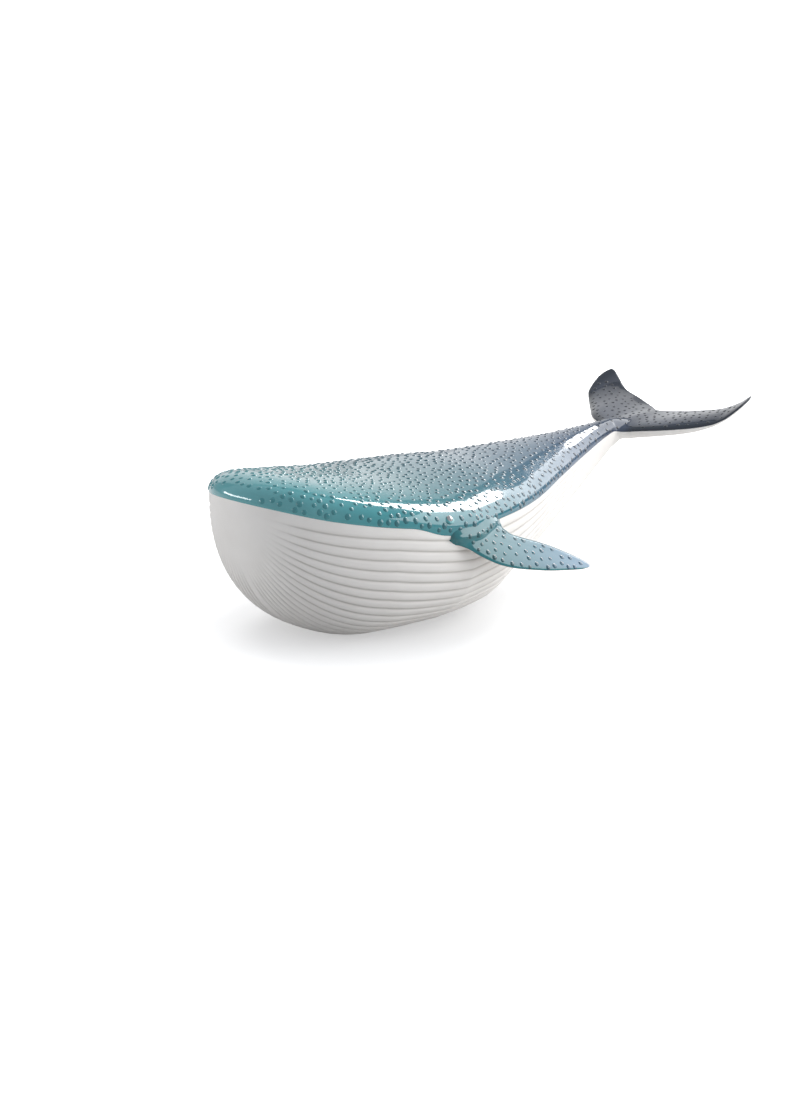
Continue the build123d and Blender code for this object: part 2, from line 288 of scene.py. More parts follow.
def put(name: str, mesh: bpy.types.Mesh, marks: dict[str, Array]) -> bpy.types.Object:
    """Puts a mesh into the scene as a smooth piece, whose place is in its mesh.

    Args:
        name: Name of the piece.
        mesh: Its mesh, in metres.
        marks: Values of each vertex, by the name of the mark that a material reads.

    Returns:
        The piece.
    """
    mesh.shade_smooth()
    for mark, values in marks.items():
        attribute = mesh.attributes.new(mark, "FLOAT", "POINT")
        attribute.data.foreach_set("value", values.astype(np.float32))
    piece = bpy.data.objects.new(name, mesh)
    bpy.context.scene.collection.objects.link(piece)
    return piece


@dataclass
class Skin:
    """A grid of points in millimetres that closes to a shell."""

    name: str
    points: Array
    wraps: bool = True
    first_pole: bool = True
    last_pole: bool = True
    rim: Array | None = None
    marks: dict[str, Array] = field(default_factory=dict)

    def faces(self) -> tuple[list[list[int]], Array]:
        """Works out the faces.

        Each grid cell is a quad of its four corners. A pole row is one vertex, so its cells are
        triangles.

        Returns:
            The faces, and the flat index of the grid point of each vertex.
        """
        rows, columns = self.points.shape[:2]
        ids = np.arange(rows * columns).reshape(rows, columns)
        if self.first_pole:
            ids[0] = ids[0, 0]
        if self.last_pole:
            ids[-1] = ids[-1, 0]
        used, ids = np.unique(ids, return_inverse=True)
        ids = ids.reshape(rows, columns)
        if self.wraps:
            ids = np.concatenate([ids, ids[:, :1]], axis=1)
        quads = np.stack([ids[:-1, :-1], ids[:-1, 1:], ids[1:, 1:], ids[1:, :-1]], axis=-1)
        quads = quads.reshape(-1, 4)
        top, bottom = quads[:, 0] == quads[:, 1], quads[:, 2] == quads[:, 3]
        whole = quads[~top & ~bottom]
        thirds = np.concatenate([quads[top][:, [0, 2, 3]], quads[bottom & ~top][:, :3]])
        corners = self.points.reshape(-1, 3)[used]
        a, b, c = (corners[whole[:, k]] for k in range(3))
        if np.einsum("ij,ij->", a, np.cross(b, c)) < 0:
            whole, thirds = whole[:, ::-1], thirds[:, ::-1]
        return whole.tolist() + thirds.tolist(), used

    def build(self) -> bpy.types.Object:
        """Puts the grid into the scene, with sharp edges along its rim.

        Returns:
            The piece.
        """
        faces, used = self.faces()
        mesh = bpy.data.meshes.new(self.name)
        mesh.from_pydata((self.points.reshape(-1, 3)[used] * MM).tolist(), [], faces)
        marks = {mark: values.reshape(-1)[used] for mark, values in self.marks.items()}
        piece = put(self.name, mesh, marks)
        if self.rim is not None:
            on_rim = self.rim.reshape(-1)[used]
            ends = np.empty(2 * len(mesh.edges), int)
            mesh.edges.foreach_get("vertices", ends)
            sharp = on_rim[ends].reshape(-1, 2).all(axis=1)
            mesh.edges.foreach_set("use_edge_sharp", sharp)
        mesh.update()
        return piece


def add_node(tree: bpy.types.NodeTree, kind: str, settings: dict[str, Any] | None = None,
             inputs: dict[Any, Any] | None = None) -> bpy.types.Node:
    """Adds a node with its settings, values and links.

    Args:
        tree: Node tree that gets the node.
        kind: Blender's name for the node type.
        settings: Properties to set on the node.
        inputs: Values, or sockets to link from, by input name or number.

    Returns:
        The new node.
    """
    node = tree.nodes.new(kind)
    for key, value in (settings or {}).items():
        setattr(node, key, value)
    for key, value in (inputs or {}).items():
        if isinstance(value, bpy.types.NodeSocket):
            tree.links.new(value, node.inputs[key])
        else:
            node.inputs[key].default_value = value
    return node


def period(millimetres: float) -> float:
    """Noise scale, per metre, of a pattern with that period."""
    return 1 / (millimetres * MM)


@dataclass(frozen=True)
class Finish(ABC):
    """A finish that one shader shows."""

    name: str

    @abstractmethod
    def shader(self, tree: bpy.types.NodeTree) -> bpy.types.NodeSocket:
        """Adds the finish's shader to a tree.

        Args:
            tree: Node tree of the material.

        Returns:
            The shader's output socket.
        """

    def material(self) -> bpy.types.Material:
        """Makes the material that shows the finish, and nothing but it.

        Returns:
            The material.
        """
        material = bpy.data.materials.new(self.name)
        material.use_nodes = True
        tree = material.node_tree
        tree.nodes.clear()
        add_node(tree, "ShaderNodeOutputMaterial", None, {"Surface": self.shader(tree)})
        return material


@dataclass(frozen=True)
class BisqueFinish(Finish):
    """Unglazed porcelain, slip-cast in a plaster mould and fired.

    To the eye it is matt and slightly warm, with a dry grain and slow clouds where the slip dried
    unevenly. The pleats' grooves are darkened with painted shade.
    """

    name: str = "bisque_porcelain_cast"
    clay: str = "#EDEAE6"
    shade: str = "#E4E0DB"
    # Colour of the painted shade in the pleats' grooves.
    groove: str = "#A8A29B"
    roughness: float = 0.62
    ior: float = 1.5
    # The clay's own grain, about 0.05 mm, would not show, so it is drawn coarser.
    grain_mm: float = 0.7
    grain_depth_mm: float = 0.05
    grain_strength: float = 0.12
    mottle_mm: float = 24.0

    def shader(self, tree: bpy.types.NodeTree) -> bpy.types.NodeSocket:
        """Adds the bisque's shader to a tree.

        Args:
            tree: Node tree of the material.

        Returns:
            The shader's output socket.
        """
        place = add_node(tree, "ShaderNodeTexCoord")
        mottle = add_node(tree, "ShaderNodeTexNoise", {"noise_dimensions": "3D"}, {
            "Vector": place.outputs["Object"], "Scale": period(self.mottle_mm), "Detail": 3.0})
        colour = add_node(tree, "ShaderNodeMix", {"data_type": "RGBA"}, {
            0: mottle.outputs["Fac"], 6: linear(self.clay), 7: linear(self.shade)})
        # Painted shade: darkens the clay where the belly's groove mark is high.
        groove = add_node(tree, "ShaderNodeAttribute", {"attribute_name": "groove"})
        colour = add_node(tree, "ShaderNodeMix", {"data_type": "RGBA"}, {
            0: groove.outputs["Fac"], 6: colour.outputs[2], 7: linear(self.groove)})
        grain = add_node(tree, "ShaderNodeTexNoise", None, {
            "Vector": place.outputs["Object"], "Scale": period(self.grain_mm), "Detail": 2.0})
        bump = add_node(tree, "ShaderNodeBump", None, {
            "Height": grain.outputs["Fac"], "Strength": self.grain_strength,
            "Distance": self.grain_depth_mm * MM})
        shader = add_node(tree, "ShaderNodeBsdfPrincipled", None, {
            "Base Color": colour.outputs[2], "Roughness": self.roughness, "IOR": self.ior,
            "Normal": bump.outputs["Normal"]})
        return shader.outputs["BSDF"]


@dataclass(frozen=True)
class LustreGlazeFinish(Finish):
    """Metal-oxide lustre glaze, brushed on porcelain and fired to a smooth glass.

    To the eye it is a deep colour under a clear, mirror-like coat: dark where it faces the eye and
    pale where it mirrors the room at a low angle, with soft ripples where the glaze flowed.
    """

    name: str = "lustre_glaze_teal_to_slate"
    fade: tuple = ((0.0, "#5C9FA4"), (0.15, "#398C92"), (0.3, "#28757F"), (0.5, "#336277"),
                   (0.7, "#36506A"), (0.82, "#323F54"), (1.0, "#262B35"))
    band: str = "#061626"
    roughness: float = 0.16
    body_gloss: float = 0.15
    coat_ior: float = 1.62
    coat_roughness: float = 0.03
    flow_mm: float = 18.0
    drift: float = 0.1
    ripple_mm: float = 9.0
    ripple_depth_mm: float = 0.25
    ripple_strength: float = 0.25

    def shader(self, tree: bpy.types.NodeTree) -> bpy.types.NodeSocket:
        """Adds the glaze's shader to a tree.

        The colour fades along the piece's own tone mark, drifts a little with a slow noise, and
        goes to the band's colour where the band mark is 1.

        Args:
            tree: Node tree of the material.

        Returns:
            The shader's output socket.
        """
        place = add_node(tree, "ShaderNodeTexCoord")
        tone = add_node(tree, "ShaderNodeAttribute", {"attribute_name": "tone"})
        edge = add_node(tree, "ShaderNodeAttribute", {"attribute_name": "band"})
        flow = add_node(tree, "ShaderNodeTexNoise", None, {
            "Vector": place.outputs["Object"], "Scale": period(self.flow_mm), "Detail": 2.0})
        drift = add_node(tree, "ShaderNodeMath", {"operation": "MULTIPLY_ADD"}, {
            0: flow.outputs["Fac"], 1: self.drift, 2: -self.drift / 2})
        along = add_node(tree, "ShaderNodeMath", {"operation": "ADD"}, {
            0: tone.outputs["Fac"], 1: drift.outputs[0]})
        ramp = add_node(tree, "ShaderNodeValToRGB", None, {"Fac": along.outputs[0]})
        stops = ramp.color_ramp.elements
        stops[0].position, stops[1].position = self.fade[0][0], self.fade[-1][0]
        stops[0].color, stops[1].color = linear(self.fade[0][1]), linear(self.fade[-1][1])
        for position, code in self.fade[1:-1]:
            stops.new(position).color = linear(code)
        colour = add_node(tree, "ShaderNodeMix", {"data_type": "RGBA"}, {
            0: edge.outputs["Fac"], 6: ramp.outputs["Color"], 7: linear(self.band)})
        ripple = add_node(tree, "ShaderNodeTexNoise", None, {
            "Vector": place.outputs["Object"], "Scale": period(self.ripple_mm), "Detail": 1.0})
        bump = add_node(tree, "ShaderNodeBump", None, {
            "Height": ripple.outputs["Fac"], "Strength": self.ripple_strength,
            "Distance": self.ripple_depth_mm * MM})
        shader = add_node(tree, "ShaderNodeBsdfPrincipled", None, {
            "Base Color": colour.outputs[2], "Roughness": self.roughness,
            "Specular IOR Level": self.body_gloss, "Coat Weight": 1.0, "Coat IOR": self.coat_ior,
            "Coat Roughness": self.coat_roughness, "Normal": bump.outputs["Normal"],
            "Coat Normal": bump.outputs["Normal"]})
        return shader.outputs["BSDF"]


@dataclass(frozen=True)
class HalfGlazedFinish(Finish):
    """Porcelain glazed on one side: dry bisque meets mirror-like glaze on a fine line."""

    glaze: LustreGlazeFinish
    bisque: BisqueFinish
    softness_mm: float = 0.25

    def shader(self, tree: bpy.types.NodeTree) -> bpy.types.NodeSocket:
        """Adds a shader that mixes both finishes across the piece's own glaze_line mark.

        Args:
            tree: Node tree of the material.

        Returns:
            The shader's output socket.
        """
        line = add_node(tree, "ShaderNodeAttribute", {"attribute_name": "glaze_line"})
        share = add_node(tree, "ShaderNodeMapRange", {"interpolation_type": "SMOOTHSTEP"}, {
            "Value": line.outputs["Fac"], "From Min": -self.softness_mm,
            "From Max": self.softness_mm})
        mix = add_node(tree, "ShaderNodeMixShader", None, {
            0: share.outputs["Result"], 1: self.bisque.shader(tree), 2: self.glaze.shader(tree)})
        return mix.outputs["Shader"]


@dataclass(frozen=True)
class SilverLustreFinish(Finish):
    """Silver lustre, fired thinly on glaze: to the eye a soft mirror with slightly dull clouds."""

    name: str = "silver_lustre_fired"
    bright: str = "#D9D8D6"
    dull: str = "#8F8E90"
    roughness: float = 0.2
    cloud_mm: float = 1.6

    def shader(self, tree: bpy.types.NodeTree) -> bpy.types.NodeSocket:
        """Adds the lustre's shader to a tree.

        Args:
            tree: Node tree of the material.

        Returns:
            The shader's output socket.
        """
        place = add_node(tree, "ShaderNodeTexCoord")
        cloud = add_node(tree, "ShaderNodeTexNoise", None, {
            "Vector": place.outputs["Object"], "Scale": period(self.cloud_mm), "Detail": 3.0})
        colour = add_node(tree, "ShaderNodeMix", {"data_type": "RGBA"}, {
            0: cloud.outputs["Fac"], 6: linear(self.bright), 7: linear(self.dull)})
        shader = add_node(tree, "ShaderNodeBsdfPrincipled", None, {
            "Base Color": colour.outputs[2], "Metallic": 1.0, "Roughness": self.roughness})
        return shader.outputs["BSDF"]


@dataclass(frozen=True)
class PaperFinish(Finish):
    """White background paper: to the eye clean and matt, and barely darker round the foot.

    What the camera sees glows, and that glow is dimmed round the foot as a painted shadow, but
    what lights the whale hardly does, so that the paper shows white and yet leaves the whale its
    shade.
    """

    name: str = "white_background_paper"
    paper: str = "#CACACA"
    fibre: str = "#C6C6C6"
    # Real fibres, about 0.02 mm thick, would not show, so they are drawn coarser.
    fibre_mm: float = 3.0
    roughness: float = 0.9
    gloss: float = 0.1
    glow: float = 0.04
    # The glow that the camera sees: near the foot, where it is dimmed as a painted shadow, and far
    # from it, and in metres the painted shadow's middle with the distances between which the one
    # goes over into the other.
    near: float = 0.44
    far: float = 1.0
    painted_shadow_centre: tuple = (-0.1, 0.0, 0.0)
    painted_shadow_run: tuple = (0.07, 0.25)

    def shader(self, tree: bpy.types.NodeTree) -> bpy.types.NodeSocket:
        """Adds the paper's shader, whose glow grows from the whale's shade outwards.

        Args:
            tree: Node tree of the material.

        Returns:
            The shader's output socket.
        """
        place = add_node(tree, "ShaderNodeTexCoord")
        fibre = add_node(tree, "ShaderNodeTexNoise", None, {
            "Vector": place.outputs["Object"], "Scale": period(self.fibre_mm)})
        colour = add_node(tree, "ShaderNodeMix", {"data_type": "RGBA"}, {
            0: fibre.outputs["Fac"], 6: linear(self.paper), 7: linear(self.fibre)})
        path = add_node(tree, "ShaderNodeLightPath")
        away = add_node(tree, "ShaderNodeVectorMath", {"operation": "DISTANCE"}, {
            0: place.outputs["Object"], 1: self.painted_shadow_centre})
        # Painted shadow: the glow that the camera sees is dimmed round the foot, rising from near
        # to far.
        glow_round_painted_shadow = add_node(tree, "ShaderNodeMapRange", {"interpolation_type": "SMOOTHSTEP"}, {
            "Value": away.outputs["Value"], "From Min": self.painted_shadow_run[0],
            "From Max": self.painted_shadow_run[1], "To Min": self.near, "To Max": self.far})
        glow = add_node(tree, "ShaderNodeMapRange", None, {
            "Value": path.outputs["Is Camera Ray"], "To Min": self.glow,
            "To Max": glow_round_painted_shadow.outputs["Result"]})
        shader = add_node(tree, "ShaderNodeBsdfPrincipled", None, {
            "Base Color": colour.outputs[2], "Roughness": self.roughness,
            "Specular IOR Level": self.gloss, "Emission Color": linear("#FFFFFF"),
            "Emission Strength": glow.outputs[0]})
        return shader.outputs["BSDF"]


class Slot(Enum):
    """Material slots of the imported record."""

    BISQUE = "bisque"
    GLAZE = "lustre_glaze"
    EYE = "eye_lustre"


def dress(piece: bpy.types.Object, material: bpy.types.Material, slot: Slot,
          *stands_for: str) -> bpy.types.Object:
    """Gives a piece its material and ties it to the frame.

    Args:
        piece: Finished piece.
        material: Its material.
        slot: The record's slot that the finish belongs to; not used.
        stands_for: CAD nodes that the piece replaces.

    Returns:
        The same piece.
    """
    piece.data.materials.clear()
    piece.data.materials.append(material)
    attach(piece, "root")
    if stands_for:
        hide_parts(*stands_for)
    LOG.info("%s: %d faces, %s", piece.name, len(piece.data.polygons), material.name)
    return piece


@dataclass(frozen=True)
class BeadPattern:
    """Raised glaze beads, trailed on by hand: low round domes at uneven distances."""

    seed: int
    spacing: Callable
    diameter: Callable
    allowed: Callable
    rise_share: float = 0.16
    spread: float = 0.2
    sink: float = 0.05
    tries_per_area: float = 0.5
    rings: tuple = ((1.12, -0.3), (0.98, 0.1), (0.8, 0.48), (0.52, 0.82), (0.24, 0.97))
    sides: int = 10

    def scatter(self, base: bpy.types.Object) -> tuple[Array, Array, Array]:
        """Picks the beads' places on a piece.

        Random points, as many as the area asks for, are taken in turn, and one stays if no bead
        that is already there lies nearer than the spacing at its place.

        Args:
            base: Piece that carries the beads.

        Returns:
            Centres, outward directions and diameters, in millimetres.
        """
        mesh = base.data
        mesh.calc_loop_triangles()
        corners = np.empty(3 * len(mesh.loop_triangles), int)
        mesh.loop_triangles.foreach_get("vertices", corners)
        corners = corners.reshape(-1, 3)
        spots = np.empty(3 * len(mesh.vertices))
        mesh.vertices.foreach_get("co", spots)
        spots = spots.reshape(-1, 3) / MM
        outward = np.empty(3 * len(mesh.vertices))
        mesh.vertices.foreach_get("normal", outward)
        outward = outward.reshape(-1, 3)
        a, b, c = (spots[corners[:, k]] for k in range(3))
        area = np.linalg.norm(np.cross(b - a, c - a), axis=1) / 2
        rng = np.random.default_rng(self.seed)
        count = int(area.sum() * self.tries_per_area)
        chosen = rng.choice(len(area), count, p=area / area.sum())
        u, v = rng.random(count), rng.random(count)
        u, v = np.where(u + v > 1, 1 - u, u), np.where(u + v > 1, 1 - v, v)
        weights = np.stack([1 - u - v, u, v], axis=1)[:, :, None]
        centres = (spots[corners[chosen]] * weights).sum(axis=1)
        normals = (outward[corners[chosen]] * weights).sum(axis=1)
        normals /= np.maximum(np.linalg.norm(normals, axis=1, keepdims=True), TINY)
        good = self.allowed(centres, normals)
        centres, normals = centres[good], normals[good]
        reach = self.spacing(centres)
        kept = np.zeros((len(centres), 3))
        picks: list[int] = []
        for i, centre in enumerate(centres):
            near = kept[:len(picks)] - centre
            if not len(picks) or np.einsum("ij,ij->i", near, near).min() > reach[i] ** 2:
                kept[len(picks)] = centre
                picks.append(i)
        size = self.diameter(centres[picks]) * (1 + self.spread * (2 * rng.random(len(picks)) - 1))
        return centres[picks], normals[picks], size

    def build(self, name: str, base: bpy.types.Object, marks: Callable) -> bpy.types.Object:
        """Builds all beads of a piece as one mesh.

        Each bead is a stack of rings: a ring's radius and height are shares of the bead's radius
        and rise, set along the surface's normal, and a last vertex closes the top.

        Args:
            name: Name of the new piece.
            base: Piece that carries the beads.
            marks: Gives the beads' marks from their centres.

        Returns:
            The beads.
        """
        centres, normals, size = self.scatter(base)
        helper = np.where(np.abs(normals[:, :1]) < 0.9, [[1.0, 0.0, 0.0]], [[0.0, 1.0, 0.0]])
        across = np.cross(normals, helper)
        across /= np.linalg.norm(across, axis=1, keepdims=True)
        over = np.cross(normals, across)
        angles = 2 * math.pi * np.arange(self.sides) / self.sides
        rings = np.array(self.rings)
        turn = (np.cos(angles)[None, :, None] * across[:, None]
                + np.sin(angles)[None, :, None] * over[:, None])
        radius, rise = size / 2, size * self.rise_share
        wide = rings[None, :, 0, None, None] * radius[:, None, None, None] * turn[:, None]
        tall = rings[None, :, 1] * rise[:, None] - self.sink
        body = centres[:, None, None] + wide + tall[:, :, None, None] * normals[:, None, None]
        tops = centres + (rise - self.sink)[:, None] * normals
        per = len(rings) * self.sides + 1
        points = np.concatenate([body.reshape(len(size), -1, 3), tops[:, None]], axis=1)
        ids = np.arange(per - 1).reshape(len(rings), self.sides)
        after = np.roll(ids, -1, axis=1)
        quads = np.stack([ids[:-1], after[:-1], after[1:], ids[1:]], -1).reshape(-1, 4)
        caps = np.stack([ids[-1], after[-1], np.full(self.sides, per - 1)], -1)
        first = (per * np.arange(len(size)))[:, None, None]
        faces = [(quads[None] + first).reshape(-1, 4).tolist(),
                 (caps[None] + first).reshape(-1, 3).tolist(),
                 (ids[0][::-1][None] + first[:, 0]).tolist()]
        mesh = bpy.data.meshes.new(name)
        mesh.from_pydata((points.reshape(-1, 3) * MM).tolist(), [], sum(faces, []))
        LOG.info("%s: %d beads", name, len(size))
        return put(name, mesh, {mark: np.repeat(values, per)
                                for mark, values in marks(centres).items()})


@dataclass
class Hull:
    """The hull: a pleated bisque belly and a glazed back with beads, closed at the glaze line."""

    form: WhaleForm
    head_rows: int = 96
    row_step: float = 1.45
    pleats: int = 18
    pleat_depth: float = 1.6
    pleat_start: float = 3.0
    pleat_full: float = 24.0
    pleat_end: float = 376.0
    pleat_fade: float = 90.0
    fan_length: float = 83.0
    fan_share: float = 0.62
    groove_power: float = 3.6
    # Strength of the painted shade in the grooves.
    groove_shade: float = 0.6
    steps_per_pleat: int = 8
    back_head_rows: int = 110
    back_row_step: float = 1.5
    back_columns: int = 90
    lip: float = 0.5
    lip_width: float = 1.7
    lip_most: float = 0.2
    lip_shares: tuple = (0.0, 0.12, 0.3, 0.55, 0.8)
    step_width: float = 4.5
    lip_fade: float = 70.0
    lip_nose_fade: float = 4.0
    vent_station: float = 140.0
    vent_diameter: float = 7.0
    vent_depth: float = 9.0
    vent_skin: float = 0.5
    vent_reach: float = 5.0
    vent_rows: int = 21
    bead_seed: int = 17
    bead_rim_gap: float = 2.8
    bead_nose_gap: float = 6.0
    bead_joint_gap: float = 2.2
    bead_spacing: tuple = (5.6, 4.9)
    bead_diameter: tuple = (3.8, 3.0)
    bead_rim_growth: float = 0.6
    bead_rim_band: float = 14.0
    bead_slim_run: tuple = (200.0, 350.0)
    eye_clearance: float = 7.0
    # No beads over the flipper's root: first and last station, and height over the rim.
    root_bare: tuple = (118.0, 182.0, 4.0)
    side_from: float = 80.0

    def lip_depth(self, station: Array) -> Array:
        """How deep the glaze's edge curls in, which fades out at the nose pole and the tail."""
        tail = ease((self.form.tail_joint - station) / self.lip_fade)
        return self.lip * tail * ease(station / self.lip_nose_fade)

    def belly(self) -> Skin:
        """Works out the belly.

        Each section is two quarter superellipses. The k-th pleat's edge lies at the share k by the
        number of pleats, to the power of the fan, and between two edges the skin is pressed in by
        the depth times the distance from the crown to a power, so that it bulges between fine
        grooves. The painted groove shade mark, which darkens the grooves as shade would, is the
        square of that press, as a share of the depth.

        Returns:
            The belly.
        """
        form = self.form
        near_vent = self.vent_station + np.linspace(-self.vent_reach, self.vent_reach,
                                                    self.vent_rows)
        stations = np.union1d(form.stations(self.head_rows, self.row_step), near_vent)
        level = form.widest(stations)
        along = np.arange(self.pleats * self.steps_per_pleat + 1) / self.steps_per_pleat
        k = np.minimum(np.floor(along), self.pleats - 1)
        u = along - k
        fan = self.fan_share + (1 - self.fan_share) * np.sqrt(
            np.minimum(stations / self.fan_length, 1.0))
        low = (k / self.pleats)[None] ** fan[:, None]
        high = ((k + 1) / self.pleats)[None] ** fan[:, None]
        share = low + (high - low) * u[None]
        y, z, reach = oval_quarter(form.half_breadth(stations), form.keel(stations) - level,
                                   form.belly_squareness(stations), lambda whole: share * whole)
        dy, dz = np.gradient(y, axis=1), np.gradient(z, axis=1)
        run = np.maximum(np.hypot(dy, dz), TINY)
        fade = ease((stations - self.pleat_start) / (self.pleat_full - self.pleat_start))
        fade = fade * ease((self.pleat_end - stations) / self.pleat_fade) * self.pleat_depth
        off_crown = np.abs(2 * u - 1) ** self.groove_power
        off_crown[(along < 0.5) | (along > self.pleats - 0.5)] = 0.0
        press = fade[:, None] * off_crown[None]
        # Painted shade: the grooves' darkening, stronger where the skin is pressed in further.
        groove = np.clip(press / self.pleat_depth, 0, 1) ** 2 * self.groove_shade
        under = reach - form.dip(stations)[:, None]
        press = press + self.lip_depth(stations)[:, None] * ease(1 - under / self.step_width)
        y, z = y + press * dz / run, z - press * dy / run
        half = np.stack([np.broadcast_to(form.along(stations)[:, None], y.shape), y,
                         np.maximum(level[:, None] + z, 0.0)], axis=-1)
        half[0] = [form.along(0.0), 0.0, form.nose_height]
        half[:, -1, 1] = 0.0
        groove = np.concatenate([groove, groove[:, -2::-1]], axis=1)
        skin = self.closed("belly_skin", self.vent(both_halves(half)))
        skin.marks["groove"] = np.concatenate([groove, groove[-1:]])
        return skin

    def vent(self, points: Array) -> Array:
        """Sinks the firing vent into the foot.

        Points within the vent's radius of its axis go up its wall: from half the radius inwards
        they form the dark end, and between there and the rim they climb by their distance.

        Args:
            points: Points of the belly, which are moved in place.

        Returns:
            The same points.
        """
        centre = np.array([self.form.along(self.vent_station), 0.0])
        offset = points[..., :2] - centre
        distance = np.maximum(np.linalg.norm(offset, axis=-1), 1e-6)
        radius = self.vent_diameter / 2
        inside = (distance < radius) & (points[..., 2] < self.vent_skin)
        climb = np.clip((radius - distance) / (radius / 2), 0.0, 1.0)
        wide = np.where(distance > radius / 2, radius, 2 * distance)
        moved = centre + offset * (wide / distance)[..., None]
        points[..., :2] = np.where(inside[..., None], moved, points[..., :2])
        points[..., 2] = np.where(inside, climb * self.vent_depth, points[..., 2])
        return points

    def closed(self, name: str, points: Array) -> Skin:
        """Adds the cap at the tail joint and marks the rim, where the shell meets its neighbour.

        Args:
            name: Name of the piece.
            points: Its sections, from the nose to the tail joint.

        Returns:
            The closed shell.
        """
        middle = points[-1].mean(axis=0)
        points = np.concatenate([points, np.broadcast_to(middle, points[-1:].shape)])
        rim = np.zeros(points.shape[:2], bool)
        rim[:, [0, -1]] = True
        rim[-2] = True
        return Skin(name, points, rim=rim, marks=self.marks_of(points))

    def marks_of(self, points: Array) -> dict[str, Array]:
        """Marks of the glaze: the tone runs from nose to tail, and the hull has no edge band."""
        tone = self.form.station_of(points) / self.form.length
        return {"tone": tone, "band": np.zeros_like(tone)}

    def back(self) -> Skin:
        """Works out the back.

        Each section is two quarter superellipses over the widest line, and upright from there
        down into the dip. Over the last stretch before the seam the skin curls in on a quarter
        ellipse, as a glaze's edge does.

        Returns:
            The back.
        """
        form = self.form
        stations = form.stations(self.back_head_rows, self.back_row_step)
        dip = form.dip(stations)[:, None]
        spread = np.linspace(0.0, 1.0, self.back_columns)[None]
        edge = np.array(self.lip_shares)[None]

        def distances(whole: Array) -> Array:
            """Distances close together on the lip, and even from there to the crest."""
            lip = np.minimum(self.lip_width, self.lip_most * whole)
            return np.concatenate([lip * edge, lip + (whole + dip - lip) * spread], axis=1) - dip

        y, z, reach = oval_quarter(form.half_breadth(stations), form.crest(stations),
                                   form.back_squareness(stations), distances)
        z, reach = z + np.minimum(reach, 0.0), reach + dip
        dy, dz = np.gradient(y, axis=1), np.gradient(z, axis=1)
        run = np.maximum(np.hypot(dy, dz), TINY)
        left = 1 - np.clip(reach / self.lip_width, 0.0, 1.0)
        press = self.lip_depth(stations)[:, None] * (1 - np.sqrt(1 - left * left))
        y, z = y - press * dz / run, z + press * dy / run
        half = np.stack([np.broadcast_to(form.along(stations)[:, None], y.shape), y,
                         form.widest(stations)[:, None] + z], axis=-1)
        half[0] = [form.along(0.0), 0.0, form.nose_height]
        half[:, -1, 1] = 0.0
        return self.closed("back_skin", both_halves(half))

    def beads(self) -> BeadPattern:
        """The back's beads: larger along the rim, smaller and closer on the tail stock.

        Returns:
            Their pattern.
        """
        form = self.form

        def over_rim(centres: Array) -> Array:
            """Height over the glaze's lower edge."""
            return centres[:, 2] - form.seam(form.station_of(centres))

        def slimmed(pair: tuple[float, float], centres: Array) -> Array:
            """Reads a size that changes along the tail stock.

            Args:
                pair: The size in front of the stock and at its end.
                centres: Centres of beads.

            Returns:
                The size at each centre.
            """
            start, end = self.bead_slim_run
            return pair[0] + (pair[1] - pair[0]) * ease(
                (form.station_of(centres) - start) / (end - start))

        def allowed(centres: Array, _: Array) -> Array:
            """Tells which beads have a place on the back.

            Args:
                centres: Centres of beads.

            Returns:
                Whether each lies clear of the rim, the nose, the joint, the eye and the root.
            """
            station, over = form.station_of(centres), over_rim(centres)
            from_eye = np.hypot(station - form.eye_station, centres[:, 2] - form.eye_height)
            first, last, high = self.root_bare
            at_root = (station > first) & (station < last) & (over < high)
            clear = ~((from_eye < self.eye_clearance) | at_root)
            return ((over > self.bead_rim_gap) & (station > self.bead_nose_gap)
                    & (clear | (np.abs(centres[:, 1]) < self.side_from))
                    & (station < form.tail_joint - self.bead_joint_gap))

        return BeadPattern(
            seed=self.bead_seed,
            spacing=lambda c: slimmed(self.bead_spacing, c),
            diameter=lambda c: (slimmed(self.bead_diameter, c) + self.bead_rim_growth
                                * ease(1 - over_rim(c) / self.bead_rim_band)),
            allowed=allowed)

    def build(self, bisque: bpy.types.Material, glaze: bpy.types.Material,
              bead_glaze_painted_shade: bpy.types.Material) -> None:
        """Builds and dresses the belly, the back and the back's beads.

        Args:
            bisque: Material of the belly.
            glaze: Material of the back.
            bead_glaze_painted_shade: Material of its beads, a darker copy of the back's glaze:
                partly the deeper colour of thick glaze, partly painted shade.
        """
        dress(self.belly().build(), bisque, Slot.BISQUE, "belly_shell")
        back = dress(self.back().build(), glaze, Slot.GLAZE, "back_shell")
        beads = self.beads().build("back_beads", back, self.marks_of)
        dress(beads, bead_glaze_painted_shade, Slot.GLAZE)


